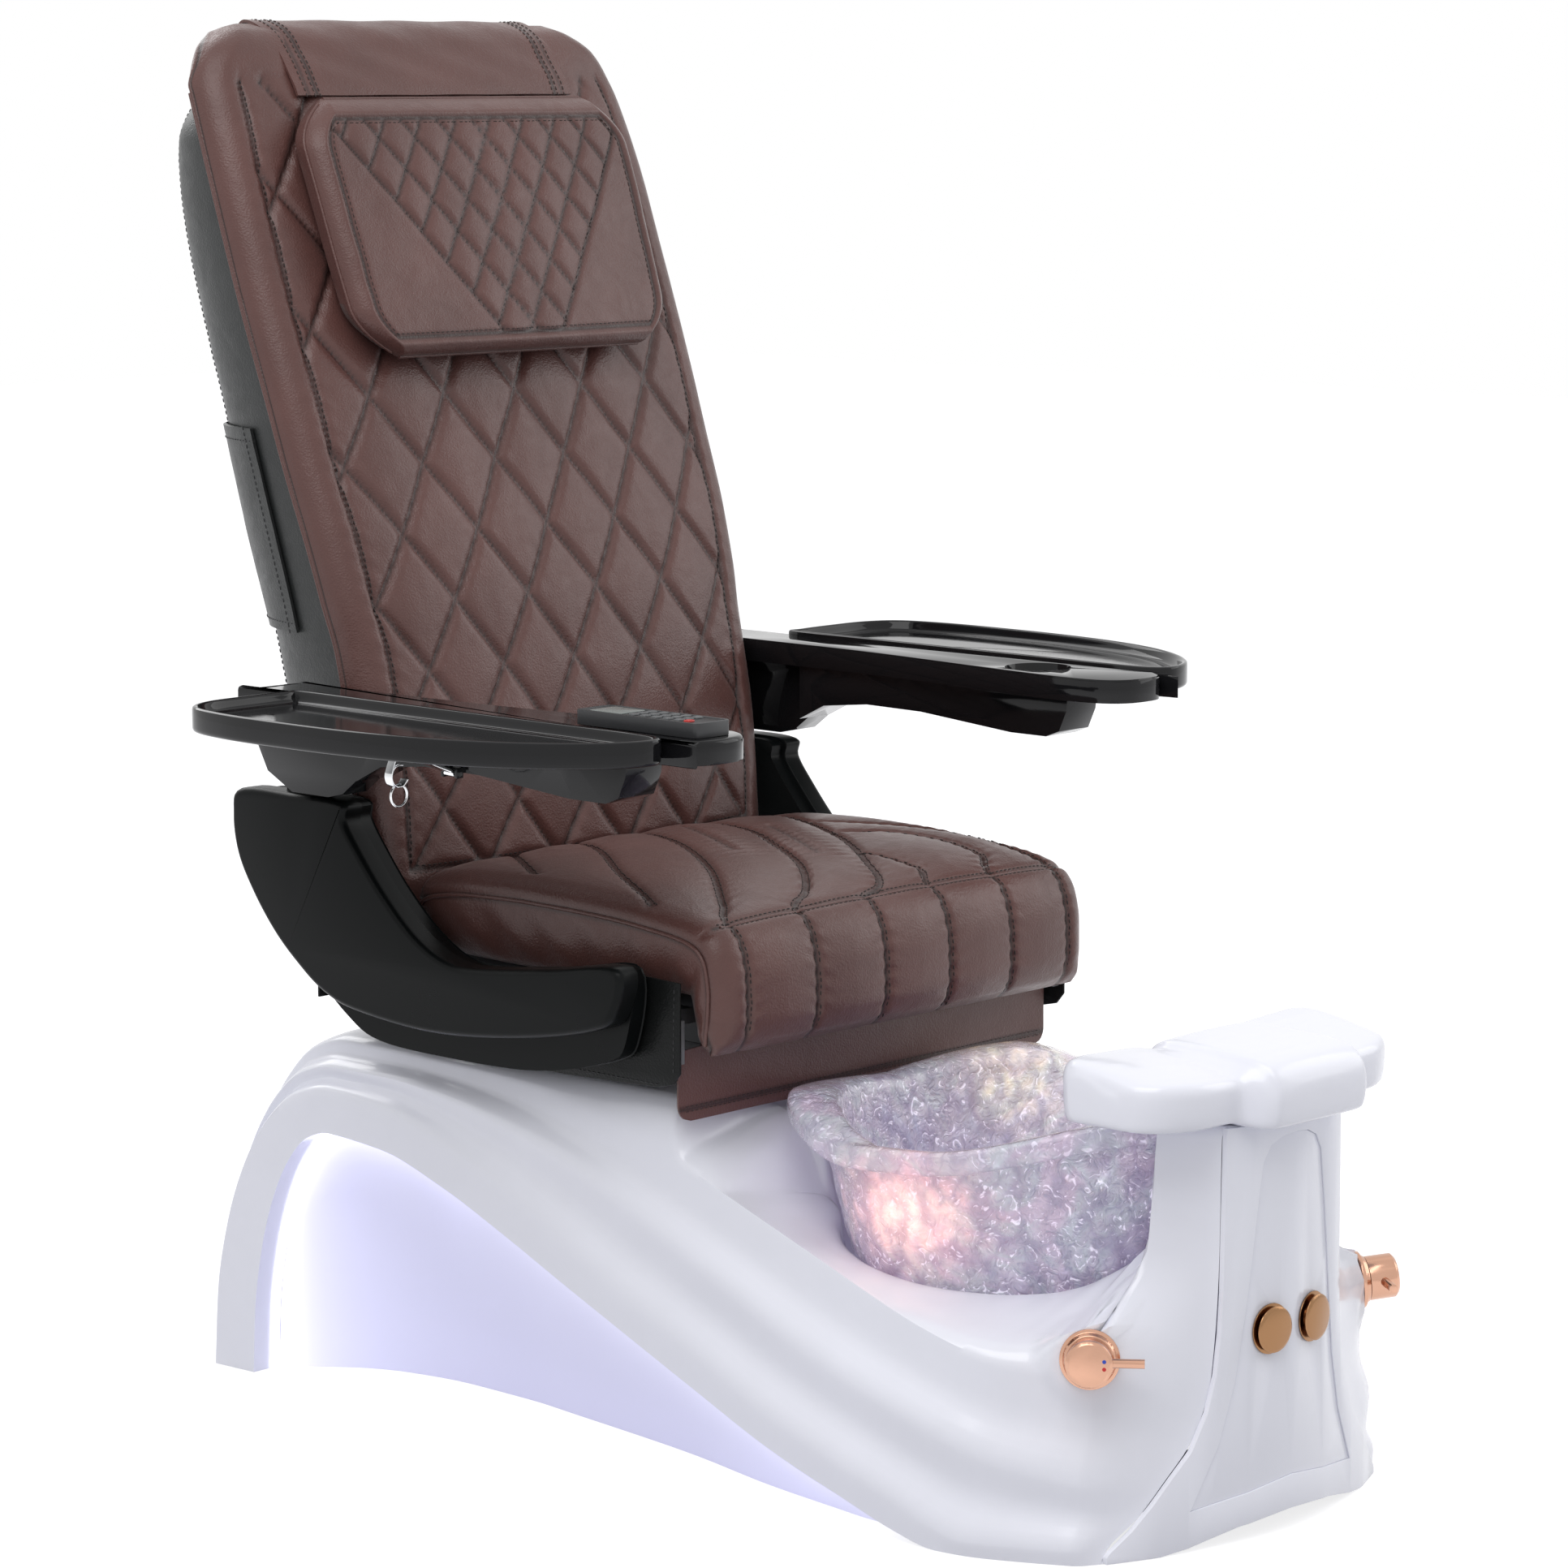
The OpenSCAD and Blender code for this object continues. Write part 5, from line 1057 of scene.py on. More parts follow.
def pad_section(half, depth, r, low, top, wall=12, corner=8, under=26):
    """Closed section of a pad as [across, depth] points: top, edge, wall, underside and back."""
    t = np.linspace(0, math.pi / 2, corner + 1)[1:]
    arc = np.stack([half - r + r * np.sin(t), r * (1 - np.cos(t))], 1)
    f = np.linspace(0, 1, wall + 1)[1:]
    side = np.stack([half + 2.5 * np.sin(math.pi * f) - low * f**3, mix(r, depth - 3, f)], 1)
    right = np.concatenate([arc, side, [[half - low - 4, depth]]])
    face = np.stack([np.linspace(r - half, half - r, top), np.zeros(top)], 1)
    below = np.stack([np.linspace(half - low - 14, 14 + low - half, under), np.full(under, depth)], 1)
    return np.concatenate([face, right, below, (right * [-1, 1])[::-1]])


def seat_point(x, v):
    """Points on the finished seat surface, for lines given as across and flat positions."""
    over, _, out, flat = seat_path()
    order = np.argsort(flat)
    y, z = (np.interp(v, flat[order], over[order, k]) for k in (0, 1))
    oy, oz = (np.interp(v, flat[order], out[order, k]) for k in (0, 1))
    d, _ = seat_relief(x, v)
    return np.stack([x, y + oy * d, z + oz * d], -1)


def side_offset(line, d):
    """Flat line moved sideways."""
    p = np.asarray(line, float)
    t = unit(np.gradient(p, axis=0))
    return p + d * np.stack([-t[:, 1], t[:, 0]], 1)


def make_seat_cushion():
    over, under, out, flat = seat_path()
    rings, seams = [], []
    count = len(over)
    for i in range(count):
        deep, depth = toward(over[i], under[i])
        end = min(1, (i + 2) / 22, (count - i + 1) / 22)
        r = min(SEAT_ROUND, 0.45 * depth) * (0.4 + 0.6 * end)
        section = pad_section(SEAT_W - 6 * (1 - end), depth, r, 9, 201)
        x, down = section[:, 0], section[:, 1]
        lift, seam = seat_relief(x, np.full(len(x), flat[i]))
        hold = np.clip(1 - down / r, 0, 1) * end
        # A dent along each side wall, which also gets painted shade through the mask below.
        wall = bell(down - r - 5, 2.6) * (np.abs(x) > SEAT_W - 12)
        side = np.sin(flat[i] / 11 + down / 13) * 1.0 * np.sin(np.clip((down - r) / (depth - r), 0, 1) * math.pi)
        x = x + np.sign(x) * (side - 1.4 * wall) * (np.abs(x) > SEAT_W - 12)
        points = np.stack([x, over[i, 0] + deep[0] * down + out[i, 0] * lift * hold,
                           over[i, 1] + deep[1] * down + out[i, 1] * lift * hold], 1)
        rings.append(points)
        # The mask of painted shade: crease shade on the top and in the dent along each side wall.
        seams.append(np.maximum(seam * (down < 1), wall))
    seams = np.concatenate([np.array(seams).ravel(), [0, 0]])
    made = upholstered("seat_pad", loft(rings), "brown_leather", "seat", "seat_cushion", seams, 70)
    rows = []
    for line in SEAT_SEAMS:
        fine = soft_line(line, 24)
        fine = fine[(fine[:, 1] > flat.min() + 12) & (fine[:, 1] < 228)]
        for d in (-3.6, 3.6):
            moved = side_offset(fine, d)
            rows.append(seat_point(moved[:, 0], moved[:, 1]) + [0, 0, 0.2])
    for line in SEAT_PLEATS:
        fine = soft_line(line, 24)
        rows.append(seat_point(fine[:, 0], fine[:, 1]))
    across = np.linspace(-SEAT_W + 26, SEAT_W - 26, 120)
    for v in (-164, -172.5):
        rows.append(seat_point(across, np.full(120, float(v))))
    stitches("seat_stitching", rows, "seat", brown_thread())
    welt = []
    for sign in (-1, 1):
        line = []
        for i in range(10, count - 10):
            deep, depth = toward(over[i], under[i])
            line.append([sign * (SEAT_W + 0.4), *(over[i] + deep * (min(SEAT_ROUND, 0.45 * depth) + 5))])
        welt.append(np.array(line)[::3])
    front = seat_point(across, np.full(120, -168.2))
    piping("seat_piping", welt + [front - [0, 0, 0.4]], "seat", brown_leather(), 2.2)


# ---------- skirts ----------
def make_flap_and_skirts():
    half = SEAT_W + 1
    x = np.linspace(-half, half, 143)
    z = np.concatenate([np.linspace(368, 440, 25), np.linspace(442, 494, 14)])
    across, up = np.meshgrid(x, z)
    corner = 17 * (1 - np.sqrt(np.clip(1 - np.clip((385 - up) / 17, 0, 1) ** 2, 0, 1)))
    limit = np.where(up > 441, 250, half - corner)
    across = across / half * limit
    wave = 0.55 * np.sin(across / 31 + 1.3 * np.sin(up / 40)) * ease((494 - up) / 60)
    front = np.stack([across, SEAT_FRONT + 0.6 + wave, up], -1)
    rear = front + [0, 2.0, 0]
    # Painted shade mask along the flap's hem, between its two stitch rows.
    hem = bell(up - 381, 2.4)
    flap = upholstered("front_flap_cover", sheet(front, rear), "brown_leather", "seat", "front_flap",
                       front_only(hem))
    low = np.stack([np.linspace(-half + 12, half - 12, 90), np.full(90, SEAT_FRONT - 0.4), np.full(90, 383.0)], 1)
    rows = stitches("flap_stitching", [low, low - [0, 0, 5]], "seat",
                    brown_thread(), 0.9)
    for soft in (flap, rows):
        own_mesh(soft)
    for word in ("left", "right"):
        skirt = fitted("side_skirt_" + word, shade_darkened_skirt_leather(), "seat", 0.9)
    fitted("rear_skirt", shade_darkened_skirt_leather(), "seat", 0.9)
    lines = []
    for sign in (-1, 1):
        x = sign * (SEAT_W + 16.6 + 0.3)
        lines.append(np.array([[x, y, 408.0] for y in np.linspace(-118, 258, 60)]))
        lines.append(np.array([[x, -143 + 1.5 * k / 20, mix(505, 425, k / 20)] for k in range(21)]))
    stitches("skirt_stitching", lines, "seat", black_thread(), 0.9)


# ---------- side shells ----------
SHELL_FACE = [[-112, 530], [-20, 519], [78, 507], [130, 507], [180, 528], [228, 568], [268, 612], [286, 636],
              [290, 656], [370, 658], [450, 656], [462, 628], [455, 586], [432, 547], [400, 509], [366, 480],
              [324, 453], [272, 438], [157, 430], [31, 441], [-75, 462], [-108, 484]]
SHELL_BACK = [[-104, 524], [-20, 515], [78, 503], [134, 503], [185, 526], [233, 566], [273, 611], [291, 636],
              [296, 654], [370, 655], [440, 653], [452, 628], [445, 588], [424, 549], [392, 509], [361, 466],
              [312, 426], [262, 405], [157, 401], [31, 405], [-70, 427], [-100, 452]]
SHELL_IN, SHELL_W = SEAT_W + 23, 46
ARM_PIVOT = (375, 712)


def disc(centre, r, x0, x1, edge=1.2, sides=56):
    """Rings of a round boss along X."""
    a, out = circle(sides), []
    for x, rr in ((x0, r - edge), (x0 + edge, r), (x1 - edge, r), (x1, r - edge)):
        out.append(np.stack([np.full(sides, float(x)), centre[0] + rr * np.cos(a), centre[1] + rr * np.sin(a)], 1))
    return loft(out, "flat")


def block(low, high, edge=1.0):
    """Points and faces of a small block with eased upright edges."""
    (x0, y0, z0), (x1, y1, z1) = low, high
    ring = [[x0 + edge, y0], [x1 - edge, y0], [x1, y0 + edge], [x1, y1 - edge], [x1 - edge, y1], [x0 + edge, y1],
            [x0, y1 - edge], [x0, y0 + edge]]
    rings = [[[x, y, z] for x, y in ring] for z in (z0, z1)]
    return loft(rings, "flat")


def joined(parts):
    points, faces, start = [], [], 0
    for p, f in parts:
        points.append(np.asarray(p, float).reshape(-1, 3))
        faces += [[k + start for k in face] for face in f]
        start += len(points[-1])
    return np.concatenate(points), faces


def make_side_shells():
    face, back = rounded(SHELL_FACE), rounded(SHELL_BACK)
    round_at = SHELL_W - 8
    profile = [(0, back, 1.2), (1.2, back, 0), (18.8, back, 0), (19, face, -1.0), (19.6, face, -0.2),
               (round_at, face, 0)]
    for a in np.radians([15, 30, 45, 60, 75, 88]):
        profile.append((round_at + 7.9 * math.sin(a), face, -7.0 * (1 - math.cos(a))))
    for side, word in SIDES:
        rings = []
        for x, outline, d in profile:
            p = inset(outline, d) if d else outline
            rings.append(np.stack([np.full(len(p), float(SHELL_IN + x)), p[:, 0], p[:, 1]], 1))
        boss = disc(ARM_PIVOT, 30, SHELL_IN, SHELL_IN + 20)
        web = block((SHELL_IN, ARM_PIVOT[0] - 28, 640), (SHELL_IN + 20, ARM_PIVOT[0] + 28, ARM_PIVOT[1]), 2)
        points, faces = joined([loft(rings, "flat"), boss, web])
        points = points * [side, 1, 1]
        piece("chair_side_" + word, points, faces, soot_plastic(), "seat", ("side_shell_" + word,),
              "soot_plastic", 38)


# ---------- back ----------
BACK_LINE = [[522, 262], [600, 268], [700, 276], [800, 296], [900, 324], [1000, 360], [1070, 384], [1200, 432],
             [1300, 468], [1390, 506], [1430, 532]]
BACK_W, PAD_T, DIAMOND_W, DIAMOND_H, QUILT_Z = 318, 64, 105, 143, 1066
BACK_CROWN, BACK_ROUND = 22, 26
BACK_EDGE = [[522, 32], [560, 20], [800, 19], [860, 12], [1000, 4], [1200, 0], [1390, 8], [1430, 30], [1450, 58],
             [1460, 82]]


def back_front(z):
    return curve(BACK_LINE, z)


def back_half(z):
    return BACK_W - curve(BACK_EDGE, z)


def lattice(x, z, wide, high, level):
    """Distances to the two families of quilting lines, and the swell between them."""
    a, b = x / wide + (z - level) / high, x / wide - (z - level) / high
    scale = 1 / math.hypot(1 / wide, 1 / high)
    da, db = (np.abs(q - np.round(q)) for q in (a, b))
    swell = (np.sin(math.pi * da) * np.sin(math.pi * db)).clip(0) ** 0.55
    return np.minimum(da, db) * scale, swell


def back_relief(x, z):
    half = back_half(np.minimum(z, 1460))
    border = np.minimum(np.minimum(half - 38 - np.abs(x), z - 575), 1400 - z)
    inside = ease(border / 10 + 0.5)
    d, swell = lattice(x, z, DIAMOND_W, DIAMOND_H, QUILT_Z)
    dent = 4.6 * bell(d, 4.6) * inside
    rim = 3.6 * bell(border, 4.0)
    pucker = 0.5 * np.sin((x + z) / 4.2) * bell(d, 10) * inside
    pucker += 0.6 * np.sin((z + 0.4 * x) / 3.6) * bell(np.abs(border) - 8, 8)
    drape = 1.3 * stain(np.stack([x, 0 * x, 0.5 * z], -1), 70, 4.0)
    lift = 3.4 * swell * inside + 2.0 * (1 - inside) - dent - rim + pucker + drape + 1.0
    # Painted shade mask: strongest in the creases of the quilting lines and of the border.
    seam = np.maximum(bell(d, 1.9) * inside, bell(border, 2.0))
    return lift, seam


def back_surface(x, z):
    w = back_half(z)
    lift, _ = back_relief(x, z)
    return np.stack([x, back_front(z) + BACK_CROWN * (np.abs(x) / w) ** 3 - lift + 4, z], -1)


def make_back_cushion():
    levels = [QUILT_Z + k * DIAMOND_H / 4 for k in range(-15, 10)]
    front = [[float(back_front(z)), z] for z in levels] + [[540, 1441], [556, 1453], [576, 1459]]
    rear = [[float(back_front(z)) + PAD_T, max(z, 534)] for z in levels] + [[574, 1400], [584, 1424], [590, 1443]]
    front, rear = refine(front, 7), refine(rear, 7)
    rings, seams, count = [], [], len(front)
    for i in range(count):
        z = front[i, 1]
        half = float(back_half(z))
        deep, depth = toward(front[i], rear[i])
        out = np.array([-1.0, 0.0]) if z < 1400 else -deep
        end = min(1, (i + 3) / 16, (count - i + 2) / 16)
        r = min(BACK_ROUND, 0.44 * depth)
        section = pad_section(half, depth, r, 8, 221, under=30)
        x, down = section[:, 0], section[:, 1]
        lift, seam = back_relief(x, np.full(len(x), z))
        hold = np.clip(1 - down / r, 0, 1)
        x = x * (back_half(z + deep[1] * down) - 2.5) / half
        crown = BACK_CROWN * np.minimum(np.abs(x) / half, 1) ** 3
        crown = crown * np.clip(1 - 1.1 * (down - r) / max(depth - r, 1), 0, 1)
        crown *= ease((1459 - z) / 70)
        wall = bell(down - r - 6, 2.4) * (np.abs(x) > half - 12)
        points = np.stack([x - np.sign(x) * 1.2 * wall,
                           front[i, 0] + deep[0] * down + out[0] * (lift - 4) * hold * end + crown,
                           front[i, 1] + deep[1] * down + out[1] * (lift - 4) * hold * end], 1)
        rings.append(points)
        # The mask of painted shade: crease shade on the quilted front and in the dent along each side wall.
        seams.append(np.maximum(seam * (down < 1) * (z < 1405), wall))
    rings = np.array(rings)
    lower = rings[0]
    middle = lower.mean(0)
    ends = [mix(lower, middle, s) - [0, 0, d] for s, d in ((0.5, 6.5), (0.22, 5.5), (0.07, 2.8))]
    seams = np.concatenate([np.zeros(3 * rings.shape[1]), np.array(seams).ravel(), [0, 0]])
    made = upholstered("back_pad", loft(np.concatenate([ends, rings])), "brown_leather", "back", "back_cushion",
                       seams, 70)
    rows = []
    z = np.linspace(578, 1397, 200)
    for sign in (-1, 1):
        for d in (34, 42):
            rows.append(back_surface(sign * (back_half(z) - d), z))
    for level in (571, 579):
        w = float(back_half(level)) - 38
        rows.append(back_surface(np.linspace(-w, w, 140), np.full(140, float(level))))
    for k in range(-12, 13):
        for sign in (-1, 1):
            zz = np.linspace(577, 1397, 420)
            xx = sign * DIAMOND_W * (k - (zz - QUILT_Z) / DIAMOND_H)
            keep = np.abs(xx) < back_half(zz) - 40
            if keep.sum() > 4:
                rows.append(back_surface(xx[keep], zz[keep]) + [0, 0.5, 0])
    stitches("back_stitching", rows, "back", brown_thread())
    welts = []
    for sign in (-1, 1):
        zz = np.linspace(548, 1385, 150)
        w = back_half(zz)
        welts.append(np.stack([sign * (w - 2.2), back_front(zz) + BACK_CROWN + BACK_ROUND + 8, zz], -1))
    piping("back_piping", welts, "back", brown_leather(), 2.0)


COVER_LINE = [[590, 440], [610, 505], [660, 542], [737, 566], [807, 580], [921, 622], [1044, 658], [1158, 694],
              [1264, 718], [1330, 714], [1375, 692], [1400, 655], [1412, 620]]


def cover_grid(levels, turns, d):
    z, a = np.meshgrid(levels, turns, indexing="ij")
    front = back_front(z) + PAD_T + 0.8
    deep = curve(COVER_LINE, z) - front
    w = 272 - 16 * ease((820 - z) / 200) - 40 * ease((z - 1330) / 90)
    c, s = np.cos(a), np.sin(a).clip(0)
    return np.stack([(w - d) * np.sign(c) * np.abs(c) ** 0.6, front + (deep - d) * s**0.7, z], -1)


def make_back_cover():
    levels = np.concatenate([np.linspace(590, 1400, 110), np.linspace(1402, 1411, 5)])
    turns = math.pi * np.linspace(0, 1, 121)
    outer, inner = cover_grid(levels, turns, 0.0), cover_grid(levels, turns, 5.0)
    fold = stain(outer, 90, 3.0) * 1.3 + stain(outer * [1, 1, 2.5], 42, 9.0) * 0.6
    middle = np.sin(turns)[None, :]
    outer[..., 1] -= 1.2 + fold * middle
    inner[..., 1] -= 1.2
    # Painted shade mask along the cover's seams: one across near its foot and one upright on each side.
    seam = np.maximum(bell(levels[:, None] - 600, 2.2),
                      bell(np.abs(outer[..., 0]) - 236, 2.2) * (levels[:, None] > 640))
    made = upholstered("back_rear_cover", sheet(outer, inner), "black_leather", "back", "back_cover",
                       front_only(seam))
    rows = []
    for sign in (-1, 1):
        k = np.abs(np.abs(outer[..., 0]) - 231) + 1e3 * (np.sign(outer[..., 0]) != sign)
        at = k.argmin(1)
        rows.append(outer[np.arange(len(levels)), at][8:-6] + [0, 0.9, 0])
    low = outer[2, 4:-4] + [0, 0.6, 0]
    stitches("cover_stitching", rows + [low], "back", black_thread())
    spans = [QUILT_Z + k * DIAMOND_H / 4 for k in (-7, -1)]
    levels = np.linspace(spans[0], spans[1], 48)
    turns = math.pi * np.linspace(1 / 14, 13 / 14, 90)
    outer, inner = cover_grid(levels, turns, -5.0), cover_grid(levels, turns, -1.6)
    outer[..., 1] -= 0.8 - 0.8 * stain(outer, 60, 5.0)
    sag = 1.6 * np.sin(turns)[None, :] * bell(levels[:, None] - levels[-1], 22)
    outer[..., 2] -= sag * 1.2
    # Painted shade mask along the pocket's hem.
    hem = bell(levels[:, None] - levels[-1] + 16, 2.2) * np.ones(len(turns))
    pocket = upholstered("rear_pocket", sheet(outer, inner), "black_leather", "back", "back_pocket",
                         front_only(hem))
    k = int(np.argmin(np.abs(levels - levels[-1] + 12)))
    rows = [outer[k] + [0, 0.7, 0], outer[2] + [0, 0.7, 0], outer[:, 2] + [0, 0.7, 0], outer[:, -3] + [0, 0.7, 0]]
    stitches("pocket_stitching", rows, "back", black_thread())


# ---------- head pillow ----------
PILLOW_LOW, PILLOW_HIGH, PILLOW_W, PILLOW_T, STRAP_W = 1108, 1379, 238, 48, 205
SMALL_W, SMALL_H, SMALL_X, SMALL_Z, PILLOW_STITCH = 51.0, 66.5, -20, 1371.0, 25


def small_diamonds(x, z):
    """Places across the two families of lines in the pillow's wedge."""
    across, up = (x - SMALL_X) / SMALL_W, (z - SMALL_Z) / SMALL_H
    return across + up, across - up


def pillow_half(t):
    return (PILLOW_W - 10 * (1 - t) ** 2 - 48 * np.maximum(0, 1 - 5 * t) ** 2 - 46 * np.maximum(0, 5 * t - 4) ** 2)


def pillow_surface(u, t):
    """Front of the pillow: a thick edge, a seamed border and a wedge of small diamonds."""
    z, half = mix(PILLOW_LOW, PILLOW_HIGH, t), pillow_half(t)
    x = u * half
    rim = np.minimum(half - np.abs(x), (0.5 - np.abs(t - 0.5)) * (PILLOW_HIGH - PILLOW_LOW))
    roll = 0.42 + 0.58 * np.sqrt(1 - (1 - np.clip(rim / 17, 0, 1)) ** 2)
    body = PILLOW_T * roll * (0.80 + 0.20 * np.cos(np.radians(80) * u))
    right, left = small_diamonds(x, z)
    wedge = np.minimum(right + 4, 5 - left) * 40
    inside = ease(wedge / 3 + 0.5) * ease((rim - 22) / 4 + 0.5)
    d, puffs = lattice(x - SMALL_X, z, SMALL_W, SMALL_H, SMALL_Z)
    # Painted shade mask in the creases of the diamond lines, the wedge's edge and the border.
    line = np.maximum(bell(d, 2.0) * inside, bell(wedge, 1.8) * (rim > 22))
    border = bell(rim - 21, 2.2)
    dent = 2.6 * bell(d, 3.4) * inside + 2.0 * bell(wedge, 3.0) * (rim > 22)
    dent += 2.2 * bell(rim - 21, 3.6)
    folds = 0.9 * stain(np.stack([x, 0 * x, 1.6 * z], -1), 60, 7.0)
    lift = 2.6 * puffs * inside + 1.2 * bell(rim - 14, 4) - dent + folds
    y = back_front(z) - 0.6 - body - (lift - 1) * np.clip(rim / 12, 0, 1)
    return np.stack([x, y, z], -1), np.maximum(line, border)


def make_head_pillow():
    t, u = np.meshgrid(np.linspace(0, 1, 121), np.linspace(-1, 1, 181), indexing="ij")
    bow = np.sin(t * math.pi / 2) ** 2
    u2 = np.sign(u) * np.sin(np.abs(u) * math.pi / 2) ** 0.9
    front, seam = pillow_surface(u2, bow)
    z = mix(PILLOW_LOW + 4, PILLOW_HIGH - 4, bow)
    rear = np.stack([u2 * (pillow_half(bow) - 5), back_front(z) - 0.6, z], -1)
    made = upholstered("pillow_pad", sheet(front, rear), "brown_leather", "back", "head_pillow",
                       front_only(seam), 70)
    rows = []
    tall = PILLOW_HIGH - PILLOW_LOW
    low, high = PILLOW_STITCH / tall, 1 - PILLOW_STITCH / tall
    tt = np.linspace(low, high, 160)
    for sign in (-1, 1):
        rows.append(pillow_surface(sign * (1 - PILLOW_STITCH / pillow_half(tt)), tt)[0])
    for level in (low, high):
        reach = 1 - PILLOW_STITCH / float(pillow_half(level))
        rows.append(pillow_surface(np.linspace(-reach, reach, 160), np.full(160, level))[0])
    for family in (-1, 1):
        for k in range(-12, 13):
            zz = np.linspace(PILLOW_LOW + 24, PILLOW_HIGH - 24, 240)
            xx = SMALL_W * (k - family * (zz - SMALL_Z) / SMALL_H) + SMALL_X
            right, left = small_diamonds(xx, zz)
            level = (zz - PILLOW_LOW) / tall
            keep = (right > -4.02) & (left < 5.02) & (np.abs(xx) < pillow_half(level) - 24)
            if keep.sum() > 6:
                rows.append(pillow_surface(xx[keep] / pillow_half(level[keep]), level[keep])[0])
    stitches("pillow_stitching", [r - [0, 0.3, 0] for r in rows], "back",
             brown_thread(), 0.9)
    turn = np.linspace(0.02, 0.98, 90)
    ring = [pillow_surface(np.full(90, side * 1.0), turn)[0] for side in (-1, 1)]
    ring += [pillow_surface(np.linspace(-1, 1, 90), np.full(90, level))[0] for level in (0.0, 1.0)]
    piping("pillow_piping", [r - [0, 3.5, 0] for r in ring], "back", brown_leather(), 1.8)


def make_pillow_strap():
    path = [[float(back_front(z)), z] for z in (1381, 1392, 1403, 1414, 1426)]
    path = refine(path + [[540, 1441], [556, 1453], [576, 1459], [590.5, 1452]], 6)
    d = unit(np.gradient(path, axis=0))
    out = np.stack([-d[:, 1], d[:, 0]], 1)
    u = np.linspace(-1, 1, 111)
    x = u * STRAP_W
    rows = [[], []]
    for i in range(len(path)):
        bow = BACK_CROWN * (np.abs(x) / float(back_half(path[i, 1]))) ** 3
        for k, lift in enumerate((1.2, 4.0)):
            extra = 0.5 * k * np.sin(x / 17 + i / 3)
            rows[k].append(np.stack([x, path[i, 0] + bow + (lift + extra) * out[i, 0],
                                     path[i, 1] + (lift + extra) * out[i, 1]], 1))
    rows = np.array(rows)
    # Painted shade mask along two lines near each edge of the strap.
    gap = np.minimum(np.abs(np.abs(x) - STRAP_W + 16), np.abs(np.abs(x) - STRAP_W + 26))
    seam = np.broadcast_to(bell(gap, 1.8)[None], rows.shape[1:3])
    made = upholstered("pillow_strap", sheet(rows[1], rows[0]), "brown_leather", "back", "pillow_flap",
                       front_only(seam))
    lines = []
    for sign in (-1, 1):
        for d in (12, 21, 30):
            j = int(np.argmin(np.abs(x - sign * (STRAP_W - d))))
            lines.append(rows[1][:, j] + np.stack([0 * out[:, 0], out[:, 0], out[:, 1]], 1) * 0.3)
    stitches("strap_stitching", lines, "back", thread("dark_thread", (0.03, 0.022, 0.02)))


# ---------- arms ----------
ARM_TOP, PLATE_T, ARM_EDGE = 770, 25, 372
ARM_OUTLINE = [[372, 380], [366, 394], [352, 400], [322, 400], [309, 394], [305, 380], [303, 200], [295, 80],
               [280, -50], [272, -140], [274, -195], [284, -222], [304, -236], [334, -238], [354, -232],
               [367, -216], [372, -196]]
TRAY_OUTLINE = [[0, 318], [0, 200], [0, 60], [0, -80], [0, -168], [8, -206], [34, -214], [74, -196], [116, -152],
                [150, -92], [172, -20], [184, 70], [186, 160], [182, 240], [166, 300], [128, 326], [70, 330],
                [20, 328]]
TRAY_LOW, TRAY_T = ARM_TOP - PLATE_T + 3, 20
TRAY_AXIS = (ARM_EDGE - 1, ARM_TOP - PLATE_T - 7)
TRAY_HINGES = (-60, 200)


def plan_rings(outline, steps):
    """Rings of a flat body: each step is a height and an inset of its outline."""
    rings = []
    for z, d in steps:
        p = inset(outline, d) if d else outline
        rings.append(np.stack([p[:, 0], p[:, 1], np.full(len(p), float(z))], 1))
    return rings


def make_arm_tops():
    outline = counter_clockwise(rounded(ARM_OUTLINE, 7))
    low, top = ARM_TOP - PLATE_T, ARM_TOP
    steps = [(low, 1.5), (low + 0.5, 0.5), (low + 1.5, 0), (top - 5, 0), (top - 3, 0.4), (top - 1.4, 1.4),
             (top - 0.4, 3.0), (top, 5.0)]
    points, faces = loft(plan_rings(outline, steps), "flat")
    piece("arm_pad_right", points * [-1, 1, 1], faces, gloss_black(), "arm_right", ("arm_top_right",),
          "gloss_black", 36)
    fitted("arm_top_left", gloss_black(), "arm_left", 1.8)


def rod_y(x, z, r, y0, y1, sides=28):
    a = circle(sides)
    rings = [np.stack([x + rr * np.cos(a), np.full(sides, float(y)), z + rr * np.sin(a)], 1)
             for y, rr in ((y0, r - 0.4), (y0 + 0.4, r), (y1 - 0.4, r), (y1, r - 0.4))]
    return loft(rings, "flat")


def make_trays():
    outline = counter_clockwise(rounded([[ARM_EDGE + 2 + x, y] for x, y in TRAY_OUTLINE], 6))
    z, top = TRAY_LOW, TRAY_LOW + TRAY_T + 6
    steps = [(z, 3.2), (z + 0.5, 2.0), (z + 1.6, 0.8), (z + 3.2, 0.1), (z + 5, 0), (top - 3, 0), (top - 1.2, 0.5),
             (top - 0.2, 1.8), (top, 3.2), (top - 0.3, 4.8), (top - 1.6, 6.2), (top - 4.5, 7.2), (top - 8, 8.4),
             (top - 10.6, 10.2), (top - 11.8, 12.6), (top - 12, 15.0)]
    for side, word in SIDES:
        parts = [loft(plan_rings(outline, steps), "flat")]
        for y in TRAY_HINGES:
            x, z, near, far = *TRAY_AXIS, y + 18.5, y + 37
            parts += [rod_y(x, z, 5.5, near, far), block((x + 4, near, z - 3), (x + 30, far, TRAY_LOW + 1), 1)]
        points, faces = joined(parts)
        piece("leaf_tray_" + word, points * [side, 1, 1], faces, gloss_black(), "tray_" + word, ("tray_" + word,),
              "gloss_black", 36)


